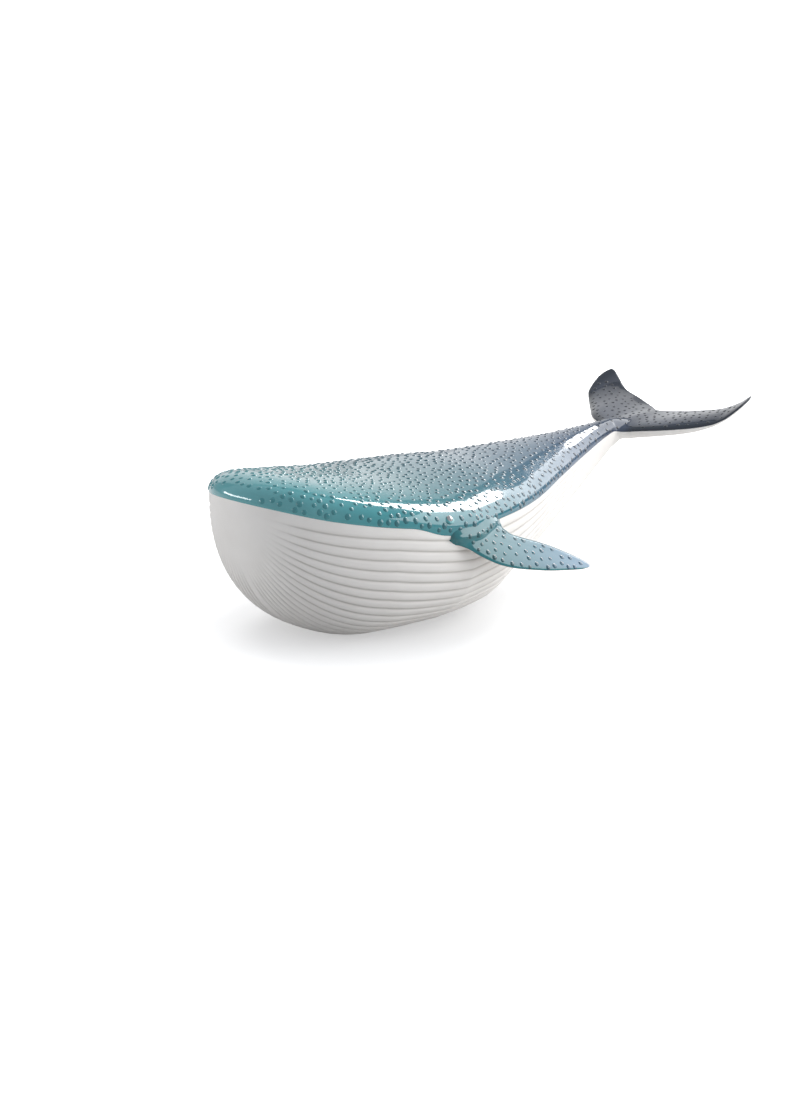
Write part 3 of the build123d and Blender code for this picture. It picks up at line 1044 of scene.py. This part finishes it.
@dataclass(frozen=True)
class BladeSection:
    """Section of a flipper or fluke: round nose, full belly and a thin trailing edge."""

    belly_share: float = 0.42
    pull_share: float = 1.25
    nose_crowding: float = 1.6
    steps: int = 34

    def loop(self, front: Array, rear: Array, low: Array, high: Array, over: Array,
             under: Array, edge: Array, round_edge: float = 0.0) -> Array:
        """Works out closed sections.

        Each half is a cubic Bezier from the nose, straight up or down at first, past a full belly
        to the trailing edge.

        Args:
            front: Places of the noses along the chord.
            rear: Places of the trailing edges.
            low: Heights of the noses.
            high: Heights of the trailing edges.
            over: Bulge above the chord.
            under: Bulge below it.
            edge: Thickness of the trailing edge.
            round_edge: How far the trailing edge swells, as a share of its thickness.

        Returns:
            Places and heights, rows by columns by 2, from the upper trailing edge round the nose
            to the lower one.
        """
        t = (np.linspace(0.0, 1.0, self.steps) ** self.nose_crowding)[None, :, None]
        belly = front + self.belly_share * (rear - front)
        height = low + self.belly_share * (high - low)

        def half(bulge: Array, end: Array) -> Array:
            """Works out the upper or lower halves of the sections.

            Args:
                bulge: Bulge over the chord, negative below it.
                end: Heights of the ends at the trailing edge.

            Returns:
                Points from the noses to the trailing edges.
            """
            pulls =[(front, low), (front, low + bulge), (belly, height + self.pull_share * bulge),
                     (rear, end)]
            p = [np.stack(pair, axis=-1)[:, None] for pair in pulls]
            return ((1 - t) ** 3 * p[0] + 3 * t * (1 - t) ** 2 * p[1]
                    + 3 * t * t * (1 - t) * p[2] + t ** 3 * p[3])

        upper, lower = half(over, high), half(-under, high - edge)
        swell = np.stack([rear + round_edge * edge, high - edge / 2], axis=-1)[:, None]
        return np.concatenate([upper[:, ::-1], lower[:, 1:], swell], axis=1)


@dataclass
class Tail:
    """The tail casting: stock and flukes in one, glazed on top and along the leading edges."""

    form: WhaleForm
    reach: float = 88.0
    half_span: float = 78.8
    root_height: float = 100.5
    rise: float = 29.5
    thickness: float = 15.5
    edge: float = 1.8
    upper_share: float = 0.3
    overlap: float = 24.0
    span_rows: int = 150
    stock_rows: int = 30
    ridge_rows: int = 22
    quarter_points: int = 25
    voxel_mm: float = 0.7
    smooth_factor: float = 0.5
    smoothing: int = 9
    # How far the glaze line lies below the chord, at the front and at the rear edge.
    line_drop: tuple = (0.4, 0.9)
    # Where it leaves the seam's height for the chord's: start before the hull's end, and run.
    line_blend: tuple = (6.0, 16.0)
    band_width: float = 7.0
    band_fade: float = 1.3
    # Where the dark band sets in: beside the middle, and at the tips as shares of the half span.
    band_root: tuple = (9.0, 8.0)
    band_tip: tuple = (0.86, 0.08)
    bead_seed: int = 29
    bead_spacing: float = 5.3
    bead_diameter: float = 2.7
    bead_edge_gaps: tuple = (3.0, 3.5)
    bead_line_gap: float = 1.8
    bead_joint_gap: float = 2.2
    bead_stock_end: float = 404.0
    bead_stock_side: float = 9.0
    bead_span_share: float = 0.955
    bead_top: float = 128.6
    bead_facing: float = 0.5
    # The ridge's rows: share of the reach, width, top and bottom as shares of the stock's end.
    stock_shares: tuple = ((0.0, 1.0, 1.0, 0.0), (0.12, 1.15, 0.975, 0.25),
                           (0.25, 1.2, 0.9, 0.45), (0.38, 1.0, 0.8, 0.55))
    # The flukes' rows: share of the half span, then shares of the reach at the front and the rear
    # edge, of the rise at both, and of the thickness.
    fluke_shares: tuple = (
        (0.0, -0.03, 0.665, 0.0, 0.285, 1.0), (0.1, 0.03, 0.722, 0.0, 0.28, 0.98),
        (0.17, 0.092, 0.762, 0.02, 0.287, 0.96), (0.25, 0.13, 0.795, 0.05, 0.3, 0.94),
        (0.455, 0.227, 0.857, 0.11, 0.385, 0.86), (0.66, 0.392, 0.894, 0.166, 0.5, 0.72),
        (0.835, 0.539, 0.967, 0.268, 0.72, 0.46), (0.937, 0.626, 0.995, 0.42, 0.92, 0.3),
        (0.985, 0.69, 1.0, 0.54, 1.0, 0.26), (1.0, 0.72, 0.995, 0.6, 1.0, 0.24))
    tip_start: float = 0.93
    tip_least: float = 0.004

    def edges(self, out: Array) -> tuple[Array, Array, Array, Array]:
        """Works out the flukes' edges, closed at the tips.

        Args:
            out: Offsets from the middle.

        Returns:
            Stations of the front and the rear edge, and heights of both, at each offset.
        """
        share = np.clip(np.abs(out) / self.half_span, 0.0, 1.0)
        front, rear = (self.form.body_length + self.reach * fair(share, self.fluke_shares, column)
                       for column in (1, 2))
        low, high = (self.root_height + self.rise * fair(share, self.fluke_shares, column)
                     for column in (3, 4))
        close = (1 - self.tip_close(share)) / 2
        return (front + (rear - front) * close, rear + (front - rear) * close,
                low + (high - low) * close, high + (low - high) * close)

    def tip_close(self, share: Array) -> Array:
        """Share of the chord that is left where a fluke's tip rounds off on a half ellipse."""
        past = np.clip((share - self.tip_start) / (1 - self.tip_start), 0.0, 1.0)
        return np.sqrt(np.maximum(1 - past * past, self.tip_least))

    def flukes(self) -> Skin:
        """Works out both flukes as one blade.

        Returns:
            Sections side by side from tip to tip, closer together towards the tips.
        """
        share = np.sin(np.linspace(-math.pi / 2, math.pi / 2, self.span_rows))
        front, rear, low, high = self.edges(share * self.half_span)
        thick = self.thickness * fair(np.abs(share), self.fluke_shares, 5)
        thick = thick * self.tip_close(np.abs(share)) ** 0.5
        over = thick * self.upper_share
        loop = BladeSection().loop(front, rear, low, high, over, thick - over,
                                   np.minimum(self.edge, thick / 2))
        out = np.broadcast_to((share * self.half_span)[:, None], loop.shape[:2])
        points = np.stack([self.form.along(loop[..., 0]), out, loop[..., 1]], axis=-1)
        return Skin("flukes", capped(points))

    def stock(self) -> Skin:
        """Works out the tail stock, which runs on as a sinking ridge into the flukes.

        Its sections are the hull's own up to the hull's end, and ellipses behind it, whose width,
        top and bottom are shares of the last section's.

        Returns:
            Sections one behind the other.
        """
        form = self.form
        stations = np.linspace(form.tail_joint - self.overlap, form.body_length, self.stock_rows)
        seam = form.seam(stations)

        def even(whole: Array) -> Array:
            """Even distances along a quarter."""
            return whole * np.linspace(0.0, 1.0, self.quarter_points)[None]

        out = form.half_breadth(stations)
        low = oval_quarter(out, form.keel(stations) - seam, form.belly_squareness(stations), even)
        high = oval_quarter(out, form.crest(stations), form.back_squareness(stations), even)
        body = self.ring(stations, seam, low, high)
        end = np.array([form.body_length])
        keel = float(form.keel(end)[0])
        depth = float(form.seam(end)[0] + form.crest(end)[0]) - keel
        places = np.linspace(0.0, self.stock_shares[-1][0], self.ridge_rows)[1:]
        wide, top, bottom = (fair(places, self.stock_shares, column) for column in (1, 2, 3))
        half_up = depth * (top - bottom) / 2
        out = float(form.half_breadth(end)[0]) * wide
        round_ = np.full(len(places), 2.0)
        low = oval_quarter(out, -half_up, round_, even)
        high = oval_quarter(out, half_up, round_, even)
        ridge = self.ring(form.body_length + self.reach * places, keel + depth * top - half_up,
                          low, high)
        return Skin("stock", capped(np.concatenate([body, ridge])))

    def ring(self, stations: Array, middle: Array, low: tuple, high: tuple) -> Array:
        """Joins the four quarters of each section to a ring, from the crest round the keel.

        Args:
            stations: Stations of the sections.
            middle: Heights of their widest lines.
            low: Lower quarters, as oval_quarter gives them.
            high: Upper quarters.

        Returns:
            Points, sections by points by 3.
        """
        right = np.concatenate([np.stack(high[:2], -1)[:, ::-1], np.stack(low[:2], -1)[:, 1:]], 1)
        whole = np.concatenate([right, right[:, -2:0:-1] * [-1, 1]], axis=1)
        x = np.broadcast_to(self.form.along(stations)[:, None], whole.shape[:2])
        return np.stack([x, whole[..., 0], whole[..., 1] + middle[:, None]], axis=-1)

    def cast(self) -> bpy.types.Object:
        """Melts stock and flukes into one skin and trims it at the joint with the hull.

        Both closed forms are remeshed together on a fine voxel grid, whose steps are then
        smoothed out, which also leaves the soft fillets of a casting between them.

        Returns:
            The casting.
        """
        corners, faces = [], []
        for skin in (self.flukes(), self.stock()):
            found, used = skin.faces()
            first = sum(len(part) for part in corners)
            corners.append(skin.points.reshape(-1, 3)[used])
            faces += [[first + i for i in face] for face in found]
        mesh = bpy.data.meshes.new("tail_forms")
        mesh.from_pydata((np.concatenate(corners) * MM).tolist(), [], faces)
        piece = put("tail_forms", mesh, {})
        melt = piece.modifiers.new("melt", "REMESH")
        melt.mode, melt.voxel_size = "VOXEL", self.voxel_mm * MM
        settle = piece.modifiers.new("settle", "SMOOTH")
        settle.factor, settle.iterations = self.smooth_factor, self.smoothing
        bpy.context.view_layer.update()
        done = bpy.data.meshes.new_from_object(
            piece.evaluated_get(bpy.context.evaluated_depsgraph_get()))
        bpy.data.objects.remove(piece)
        work = bmesh.new()
        work.from_mesh(done)
        joint = self.form.along(self.form.tail_joint) * MM
        bmesh.ops.bisect_plane(work, geom=work.verts[:] + work.edges[:] + work.faces[:],
                               plane_co=(joint, 0, 0), plane_no=(1, 0, 0), clear_inner=True)
        rim = [edge for edge in work.edges if edge.is_boundary]
        bmesh.ops.holes_fill(work, edges=rim, sides=0)
        for edge in rim:
            edge.smooth = False
        bmesh.ops.recalc_face_normals(work, faces=work.faces[:])
        work.to_mesh(done)
        work.free()
        done.name = "tail_skin"
        spots = np.empty(3 * len(done.vertices))
        done.vertices.foreach_get("co", spots)
        return put("tail_skin", done, self.marks_of(spots.reshape(-1, 3) / MM))

    def glaze_line(self, points: Array) -> Array:
        """Height of the glaze line: the seam on the stock, and below the chord on the flukes.

        Args:
            points: Points of the tail.

        Returns:
            The line's height at each point.
        """
        station, end = self.form.station_of(points), self.form.body_length
        front, rear, low, high = self.edges(points[:, 1])
        share = np.clip((station - front) / (rear - front), 0.0, 1.0)
        front_drop, rear_drop = self.line_drop
        chord = low + (high - low) * share - front_drop * (1 - share) - rear_drop * share
        before, run = self.line_blend
        on = ease((station - end + before) / run)
        return self.form.seam(np.minimum(station, end)) * (1 - on) + chord * on

    def marks_of(self, points: Array) -> dict[str, Array]:
        """Marks of the tail: tone, dark band along the edge and the tips, and the glaze line.

        Args:
            points: Points of the tail.

        Returns:
            Values of each point by mark, where the glaze line's is the height above it.
        """
        station, out = self.form.station_of(points), np.abs(points[:, 1])
        root, root_run = self.band_root
        tip, tip_run = (share * self.half_span for share in self.band_tip)
        near_edge = ease(self.band_fade - (station - self.edges(out)[0]) / self.band_width)
        near_edge = near_edge * ease((out - root) / root_run)
        near_tip = ease((out - tip) / tip_run)
        return {"tone": station / self.form.length, "band": np.maximum(near_edge, near_tip),
                "glaze_line": points[:, 2] - self.glaze_line(points)}

    def beads(self) -> BeadPattern:
        """The tail's beads, small and dark, kept off the edges.

        Returns:
            Their pattern.
        """
        def allowed(centres: Array, normals: Array) -> Array:
            """Tells which beads have a place on the tail.

            Args:
                centres: Centres of beads.
                normals: The tail's outward directions there.

            Returns:
                Whether each lies on the blade's upper side or along the top of the stock.
            """
            station, out = self.form.station_of(centres), np.abs(centres[:, 1])
            front, rear, _, _ = self.edges(centres[:, 1])
            front_gap, rear_gap = self.bead_edge_gaps
            on_blade = ((station > front + front_gap) & (station < rear - rear_gap)
                        & (normals[:, 2] > self.bead_facing))
            on_stock = (station < self.bead_stock_end) & (out < self.bead_stock_side)
            return ((on_blade | on_stock) & (centres[:, 2] < self.bead_top)
                    & (centres[:, 2] - self.glaze_line(centres) > self.bead_line_gap)
                    & (station > self.form.tail_joint + self.bead_joint_gap)
                    & (out < self.bead_span_share * self.half_span))

        return BeadPattern(seed=self.bead_seed, allowed=allowed,
                           spacing=lambda c: np.full(len(c), self.bead_spacing),
                           diameter=lambda c: np.full(len(c), self.bead_diameter))

    def build(self, half_glazed: bpy.types.Material,
              glaze: bpy.types.Material) -> list[bpy.types.Object]:
        """Builds and dresses the tail and its beads.

        Args:
            half_glazed: Material of the casting.
            glaze: Material of its beads.

        Returns:
            Both pieces.
        """
        cast = dress(self.cast(), half_glazed, Slot.GLAZE, "tail_flukes")
        beads = self.beads().build("tail_beads", cast, self.marks_of)
        return [cast, dress(beads, glaze, Slot.GLAZE)]


class Side(Enum):
    """Side of the whale, with the sign of its Y."""

    LEFT = -1
    RIGHT = 1


@dataclass
class Flipper:
    """A flipper: a swept blade that leaves the hull on a soft fillet and slopes down."""

    form: WhaleForm
    side: Side
    span: float = 47.0
    sweep: float = 113.0
    station: float = 126.0
    out: float = 94.5
    height: float = 77.5
    slope: float = 47.0
    thickness: float = 6.4
    edge: float = 1.6
    root_inside: float = 9.0
    fillet: float = 4.5
    fillet_share: float = 0.35
    fillet_spread: float = 0.4
    round_edge: float = 0.35
    near_span: float = 10.0
    near_rows: int = 46
    far_rows: int = 74
    first_angle: float = 0.03
    section_steps: int = 30
    line_rise: float = 0.1
    # How far the glaze runs under the root's edge, down the slope and before the rear edge.
    root_glaze: tuple = (3.0, 6.0, 12.0)
    band_width: float = 5.0
    band_slant: float = 0.62
    band_fade: float = 1.25
    tone_span: float = 0.15
    tone_sweep: float = 0.85
    # Where the tone starts to fade behind the root's front, and its run.
    tone_run: tuple = (20.0, 80.0)
    bead_seed: int = 41
    bead_spacing: float = 5.7
    bead_diameter: float = 3.5
    bead_edge_gaps: tuple = (4.0, 3.2)
    bead_tip_gap: float = 2.6
    bead_hull_gap: float = 3.5
    bead_lift: float = 0.4
    bead_facing: float = 0.75
    # Rows: share of the span, shares of the sweep at the front and the rear edge, and of the
    # thickness.
    shares: tuple = (
        (0.0, 0.0, 0.462, 1.0), (0.115, 0.048, 0.5, 0.98), (0.215, 0.1, 0.565, 0.95),
        (0.353, 0.152, 0.675, 0.9), (0.472, 0.208, 0.76, 0.84), (0.579, 0.269, 0.823, 0.77),
        (0.696, 0.372, 0.888, 0.68), (0.783, 0.485, 0.932, 0.6), (0.885, 0.642, 0.975, 0.5),
        (0.962, 0.807, 0.995, 0.4), (1.0, 0.9, 0.98, 0.26))

    @property
    def name(self) -> str:
        """The side's name in lower case."""
        return self.side.name.lower()

    def turned(self) -> tuple[float, float]:
        """Sine and cosine of the slope."""
        return math.sin(math.radians(self.slope)), math.cos(math.radians(self.slope))

    def edges(self, down: Array) -> tuple[Array, Array, Array]:
        """Reads the blade's outline.

        Args:
            down: Distances down the slope.

        Returns:
            Shares of the span, and places of the front and of the rear edge, at each distance.
        """
        share = np.clip(down / self.span, 0.0, 1.0)
        front, rear = (self.sweep * fair(share, self.shares, column) for column in (1, 2))
        return share, front, rear

    def skin(self) -> Skin:
        """Works out the blade.

        Sections stand side by side down the slope. Near the hull each point moves away from the
        chord by r less the root of r squared less (r - d) squared, where d is its distance from
        the hull's side and r the fillet's radius, and the section's ends spread the same way.

        Returns:
            The blade's sections with their marks.
        """
        near = np.linspace(-self.root_inside, self.near_span, self.near_rows)
        angles = np.linspace(self.first_angle, math.pi / 2, self.far_rows)
        far = self.near_span + (self.span - self.near_span) * np.sin(angles)
        down = np.concatenate([near, far])
        share, front, rear = self.edges(down)
        half = self.thickness / 2 * fair(share, self.shares, 3)
        flat = np.zeros_like(down)
        loop = BladeSection(steps=self.section_steps).loop(
            front, rear, flat, flat, half, half, np.minimum(self.edge, half), self.round_edge)
        run, lift = loop[..., 0], loop[..., 1]
        fall, level = self.turned()
        hull = self.form.half_breadth(self.station + run)
        away = np.clip((self.out + down[:, None] * level - hull) / self.fillet, 0.0, 1.0)
        swell = self.fillet * (1 - np.sqrt(1 - (1 - away) ** 2))
        middle = ((front + rear) / 2)[:, None]
        lean = np.clip((run - middle) / ((rear - front) / 2)[:, None], -1.0, 1.0)
        lift = lift + swell * np.tanh(lift / (self.fillet_share * half[:, None]))
        run = run + self.fillet_spread * swell * lean ** 3
        out = self.out + down[:, None] * level + lift * fall
        height = self.height - down[:, None] * fall + lift * level
        points = capped(np.stack([self.form.along(self.station + run), self.side.value * out,
                                  height], axis=-1))
        marks = self.marks_of(points.reshape(-1, 3))
        return Skin(f"{self.name}_flipper_skin", points,
                    marks={key: mark.reshape(points.shape[:2]) for key, mark in marks.items()})

    def local(self, points: Array) -> tuple[Array, Array, Array]:
        """Turns points to the blade's own directions.

        Args:
            points: Points of the flipper.

        Returns:
            Their distances behind the root's front, down the slope and above the chord.
        """
        fall, level = self.turned()
        out, up = np.abs(points[:, 1]) - self.out, points[:, 2] - self.height
        run = self.form.station_of(points) - self.station
        return run, out * level - up * fall, out * fall + up * level

    def marks_of(self, points: Array) -> dict[str, Array]:
        """Marks of the flipper: tone towards the tip, band along the front, and the glaze line.

        Args:
            points: Points of the flipper.

        Returns:
            Values of each point by mark, where the glaze line's is the height above it. At the
            root the glaze runs round the front to the lower side.
        """
        run, down, lift = self.local(points)
        share, front, rear = self.edges(down)
        band = ease(self.band_fade - (run - front) * self.band_slant / self.band_width)
        start, length = self.tone_run
        back = np.clip((run - start) / length, 0.0, 1.0)
        over, root, rear_gap = self.root_glaze
        wrap = over * ease(1 - down / root) * ease((rear - run) / rear_gap)
        return {"tone": self.tone_span * share + self.tone_sweep * back, "band": band,
                "glaze_line": lift - self.line_rise + wrap}

    def beads(self) -> BeadPattern:
        """The flipper's beads, on its upper side.

        Returns:
            Their pattern.
        """
        fall, level = self.turned()
        up = np.array([0.0, self.side.value * fall, level])

        def allowed(centres: Array, normals: Array) -> Array:
            """Tells which beads have a place on the flipper.

            Args:
                centres: Centres of beads.
                normals: The flipper's outward directions there.

            Returns:
                Whether each lies on the upper side, clear of the edges, the tip and the hull.
            """
            run, down, lift = self.local(centres)
            _, front, rear = self.edges(down)
            front_gap, rear_gap = self.bead_edge_gaps
            hull = self.form.half_breadth(run + self.station)
            return ((normals @ up > self.bead_facing) & (lift > self.bead_lift)
                    & (run > front + front_gap) & (run < rear - rear_gap)
                    & (down < self.span - self.bead_tip_gap)
                    & (np.abs(centres[:, 1]) > hull + self.bead_hull_gap))

        return BeadPattern(seed=self.bead_seed, allowed=allowed,
                           spacing=lambda c: np.full(len(c), self.bead_spacing),
                           diameter=lambda c: np.full(len(c), self.bead_diameter))

    def build(self, half_glazed: bpy.types.Material, glaze: bpy.types.Material) -> None:
        """Builds and dresses the flipper and its beads.

        Args:
            half_glazed: Material of the blade.
            glaze: Material of its beads.
        """
        blade = dress(self.skin().build(), half_glazed, Slot.GLAZE, f"{self.name}_flipper")
        beads = self.beads().build(f"{self.name}_flipper_beads", blade, self.marks_of)
        dress(beads, glaze, Slot.GLAZE)


@dataclass
class Eye:
    """A small silver bead on a low glazed mound."""

    form: WhaleForm
    side: Side
    diameter: float = 5.2
    rise: float = 1.5
    bead_sink: float = 0.5
    mound_diameter: float = 8.6
    mound_rise: float = 0.7
    sink: float = 0.6
    tone: float = 0.1
    rings: int = 12
    segments: int = 48

    def side_out(self, height: float) -> float:
        """How far out the hull's side lies at the eye's station.

        Args:
            height: Height above the foot.

        Returns:
            The section's superellipse solved for its half width at that height.
        """
        at = np.array([self.form.eye_station])
        share = (height - self.form.widest(at)) / self.form.crest(at)
        power = self.form.back_squareness(at)
        return float((self.form.half_breadth(at) * (1 - share ** power) ** (1 / power))[0])

    def dome(self, name: str, diameter: float, floor: float, foot: float, top: float) -> Skin:
        """Turns a quarter ellipse round the eye's own axis, which leans up with the hull's side.

        Args:
            name: Name of the piece, without its side.
            diameter: Diameter of the dome's foot.
            floor: Height of the middle of its underside over the hull.
            foot: Height of its foot.
            top: Height of its top.

        Returns:
            The dome.
        """
        height = self.form.eye_height
        out = self.side_out(height)
        lean = math.atan2(out - self.side_out(height + self.diameter), self.diameter)
        axis = np.array([0.0, self.side.value * math.cos(lean), math.sin(lean)])
        along = np.array([1.0, 0.0, 0.0])
        across = np.cross(axis, along)
        centre = np.array([self.form.along(self.form.eye_station), self.side.value * out, height])
        angles = np.linspace(0.0, 2 * math.pi, self.segments + 1)[:-1, None]
        t = np.linspace(0.0, math.pi / 2, self.rings)
        radius = np.append(0.0, diameter / 2 * np.cos(t))[:, None, None]
        rise = np.append(floor, foot + (top - foot) * np.sin(t))[:, None, None]
        points = centre + radius * (np.cos(angles) * along + np.sin(angles) * across) + rise * axis
        marks = {"tone": np.full(points.shape[:2], self.tone), "band": np.zeros(points.shape[:2])}
        return Skin(f"{self.side.name.lower()}_{name}", points, marks=marks)

    def build(self, silver: bpy.types.Material, glaze: bpy.types.Material) -> None:
        """Builds and dresses the mound and the bead.

        Args:
            silver: Material of the bead.
            glaze: Material of the mound.
        """
        mound = self.dome("eye_mound", self.mound_diameter, -self.sink, -self.sink,
                          self.mound_rise)
        bead = self.dome("eye_bead", self.diameter, 0.0, self.mound_rise - self.bead_sink,
                         self.mound_rise + self.rise)
        dress(mound.build(), glaze, Slot.GLAZE)
        dress(bead.build(), silver, Slot.EYE, f"{self.side.name.lower()}_eye")


@dataclass(frozen=True)
class SoftBox:
    """A rectangular studio light that points at the whale."""

    name: str
    place: tuple[float, float, float]
    size: tuple[float, float]
    power: float
    aim: tuple[float, float, float] = (0.0, 0.0, 0.06)
    mirrored: bool = True

    def build(self) -> None:
        """Adds the light, which the camera never sees itself."""
        light = bpy.data.lights.new(self.name, "AREA")
        light.shape, light.size, light.size_y = "RECTANGLE", *self.size
        light.energy = self.power
        lamp = bpy.data.objects.new(self.name, light)
        lamp.location = self.place
        lamp.rotation_mode = "QUATERNION"
        way = Vector(self.aim) - Vector(self.place)
        lamp.rotation_quaternion = way.to_track_quat("-Z", "Y")
        lamp.visible_camera, lamp.visible_glossy = False, self.mirrored
        bpy.context.scene.collection.objects.link(lamp)


@dataclass
class Studio:
    """White sweep, soft boxes and the camera.

    The camera's angles are in degrees and its distance and target in millimetres. The paper and
    the soft boxes are in metres, and the boxes' powers in watts.
    """

    yaw: float = 44.66
    elevation: float = 14.38
    distance: float = 2289.0
    target: tuple = (-1.2, 0.0, 59.7)
    focal_px: float = 2992.62
    frame_px: tuple = (800, 1111)
    target_px: tuple = (471.13, 514.36)
    sensor: float = 36.0
    clip: tuple = (0.1, 60.0)
    paper_front: float = -6.0
    bend_start: float = 2.2
    bend_radius: float = 1.2
    bend_steps: int = 33
    wall_height: float = 5.0
    paper_half_width: float = 7.0
    room_colour: str = "#C9CED6"
    room: float = 0.64
    room_gloss: float = 1.0
    boxes: tuple = (
        SoftBox("key_box", (1.414, -0.66, 0.94), (2.75, 1.5), 36.0),
        SoftBox("side_box", (0.75, -1.6, 0.3), (1.2, 0.6), 8.5, mirrored=False),
        SoftBox("strip_box", (0.943, 0.28, 0.962), (0.4, 0.42), 6.5, (-0.1, -0.08, 0.1)),
        SoftBox("back_panel", (1.09, 2.03, 1.22), (2.3, 2.2), 7.0),
        SoftBox("top_box", (0.3, 1.4, 2.4), (1.8, 0.8), 22.0, mirrored=False),
        SoftBox("nose_box", (-1.6, 1.13, 0.42), (1.7, 0.22), 11.0))

    def sweep(self) -> bpy.types.Object:
        """Builds the paper: a floor that turns up to a wall on a quarter circle, in metres.

        Returns:
            The paper, without its material.
        """
        yaw = math.radians(self.yaw)
        away = np.array([math.sin(yaw), math.cos(yaw), 0.0])
        right = np.array([math.cos(yaw), -math.sin(yaw), 0.0])
        bend, radius = self.bend_start, self.bend_radius
        turn = np.linspace(0.0, math.pi / 2, self.bend_steps)[1:]
        depth = np.concatenate([[self.paper_front, bend], bend + radius * np.sin(turn),
                                [bend + radius]])
        height = np.concatenate([[0.0, 0.0], radius * (1 - np.cos(turn)), [self.wall_height]])
        width = np.linspace(-self.paper_half_width, self.paper_half_width, 3)
        points = (depth[:, None, None] * away + width[None, :, None] * right
                  + height[:, None, None] * np.array([0.0, 0.0, 1.0]))
        skin = Skin("paper_sweep", points / MM, wraps=False, first_pole=False, last_pole=False)
        return skin.build()

    def camera(self) -> None:
        """Sets the camera where the photograph was taken from."""
        yaw, tilt = math.radians(self.yaw), math.radians(self.elevation)
        back = Vector((-math.sin(yaw) * math.cos(tilt), -math.cos(yaw) * math.cos(tilt),
                       math.sin(tilt)))
        data = bpy.data.cameras.new("camera")
        data.sensor_width = self.sensor
        data.lens = self.focal_px * self.sensor / self.frame_px[1]
        data.shift_x = (self.frame_px[0] / 2 - self.target_px[0]) / self.frame_px[1]
        data.shift_y = (self.target_px[1] - self.frame_px[1] / 2) / self.frame_px[1]
        data.clip_start, data.clip_end = self.clip
        camera = bpy.data.objects.new("camera", data)
        camera.location = (Vector(self.target) + back * self.distance) * MM
        camera.rotation_mode = "QUATERNION"
        camera.rotation_quaternion = (-back).to_track_quat("-Z", "Y")
        bpy.context.scene.collection.objects.link(camera)
        bpy.context.scene.camera = camera

    def flag(self, name: str, shaded: list[bpy.types.Object]) -> None:
        """Keeps one soft box off some pieces, as a black flag on a stand does.

        Args:
            name: Name of the soft box.
            shaded: Pieces that it doesn't light.
        """
        lamp = bpy.data.objects[name]
        kept_off = bpy.data.collections.new(f"{name}_flag")
        for piece in shaded:
            kept_off.objects.link(piece)
        lamp.light_linking.receiver_collection = kept_off
        for item in kept_off.collection_objects:
            item.light_linking.link_state = "EXCLUDE"

    def build(self) -> None:
        """Builds the sweep, the lights, the room's own light and the camera."""
        sweep = self.sweep()
        sweep.data.materials.append(PaperFinish().material())
        for box in self.boxes:
            box.build()
        world = bpy.data.worlds.new("studio_room")
        world.use_nodes = True
        tree = world.node_tree
        path = add_node(tree, "ShaderNodeLightPath")
        strength = add_node(tree, "ShaderNodeMapRange", None, {
            "Value": path.outputs["Is Glossy Ray"], "To Min": self.room,
            "To Max": self.room_gloss})
        room = tree.nodes["Background"]
        room.inputs["Color"].default_value = linear(self.room_colour)
        tree.links.new(strength.outputs["Result"], room.inputs["Strength"])
        bpy.context.scene.world = world
        bpy.context.scene.view_settings.view_transform = "Standard"
        self.camera()


def main() -> None:
    """Builds the studio and the whale, piece by piece."""
    logging.basicConfig(level=logging.INFO, format="%(name)s: %(message)s")
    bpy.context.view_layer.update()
    form = WhaleForm()
    bisque, lustre = BisqueFinish(), LustreGlazeFinish()
    flipper_lustre = LustreGlazeFinish(
        name="lustre_glaze_teal_to_lilac", band="#0F6A70",
        fade=((0.0, "#1C6A70"), (0.35, "#266A76"), (0.7, "#356C80"), (1.0, "#4C7690")))
    # The beads' glaze is a darker copy of the back's: partly the deeper colour of thick glaze,
    # partly painted shade for the dark flanks of beads that face the front of the room.
    thick = LustreGlazeFinish(
        name="lustre_glaze_beads_teal_to_black", band="#04101C",
        fade=((0.0, "#35858B"), (0.15, "#1F6E74"), (0.3, "#17545E"), (0.5, "#1B4152"),
              (0.7, "#1B3146"), (0.82, "#172231"), (1.0, "#0E1219")))
    # The flipper beads' glaze is a darker copy too: partly thick glaze's deeper colour, partly
    # painted shade on their flanks.
    flipper_bead_glaze_painted_shade = LustreGlazeFinish(
        name="lustre_glaze_beads_teal", band="#0A4448",
        fade=((0.0, "#0F5358"), (0.35, "#15535C"), (0.7, "#1E5163"), (1.0, "#2F5870")))
    clay, glaze, bead_glaze_painted_shade = bisque.material(), lustre.material(), thick.material()
    silver = SilverLustreFinish().material()
    studio = Studio()
    studio.build()
    Hull(form).build(clay, glaze, bead_glaze_painted_shade)
    tail_glaze = HalfGlazedFinish("half_glazed_tail", lustre, bisque).material()
    studio.flag("strip_box", Tail(form).build(tail_glaze, bead_glaze_painted_shade))
    blade = HalfGlazedFinish("half_glazed_flipper", flipper_lustre, bisque).material()
    flipper_bead_material_painted_shade = flipper_bead_glaze_painted_shade.material()
    for side in Side:
        Flipper(form, side).build(blade, flipper_bead_material_painted_shade)
        Eye(form, side).build(silver, glaze)


if __name__ == "__main__":
    main()
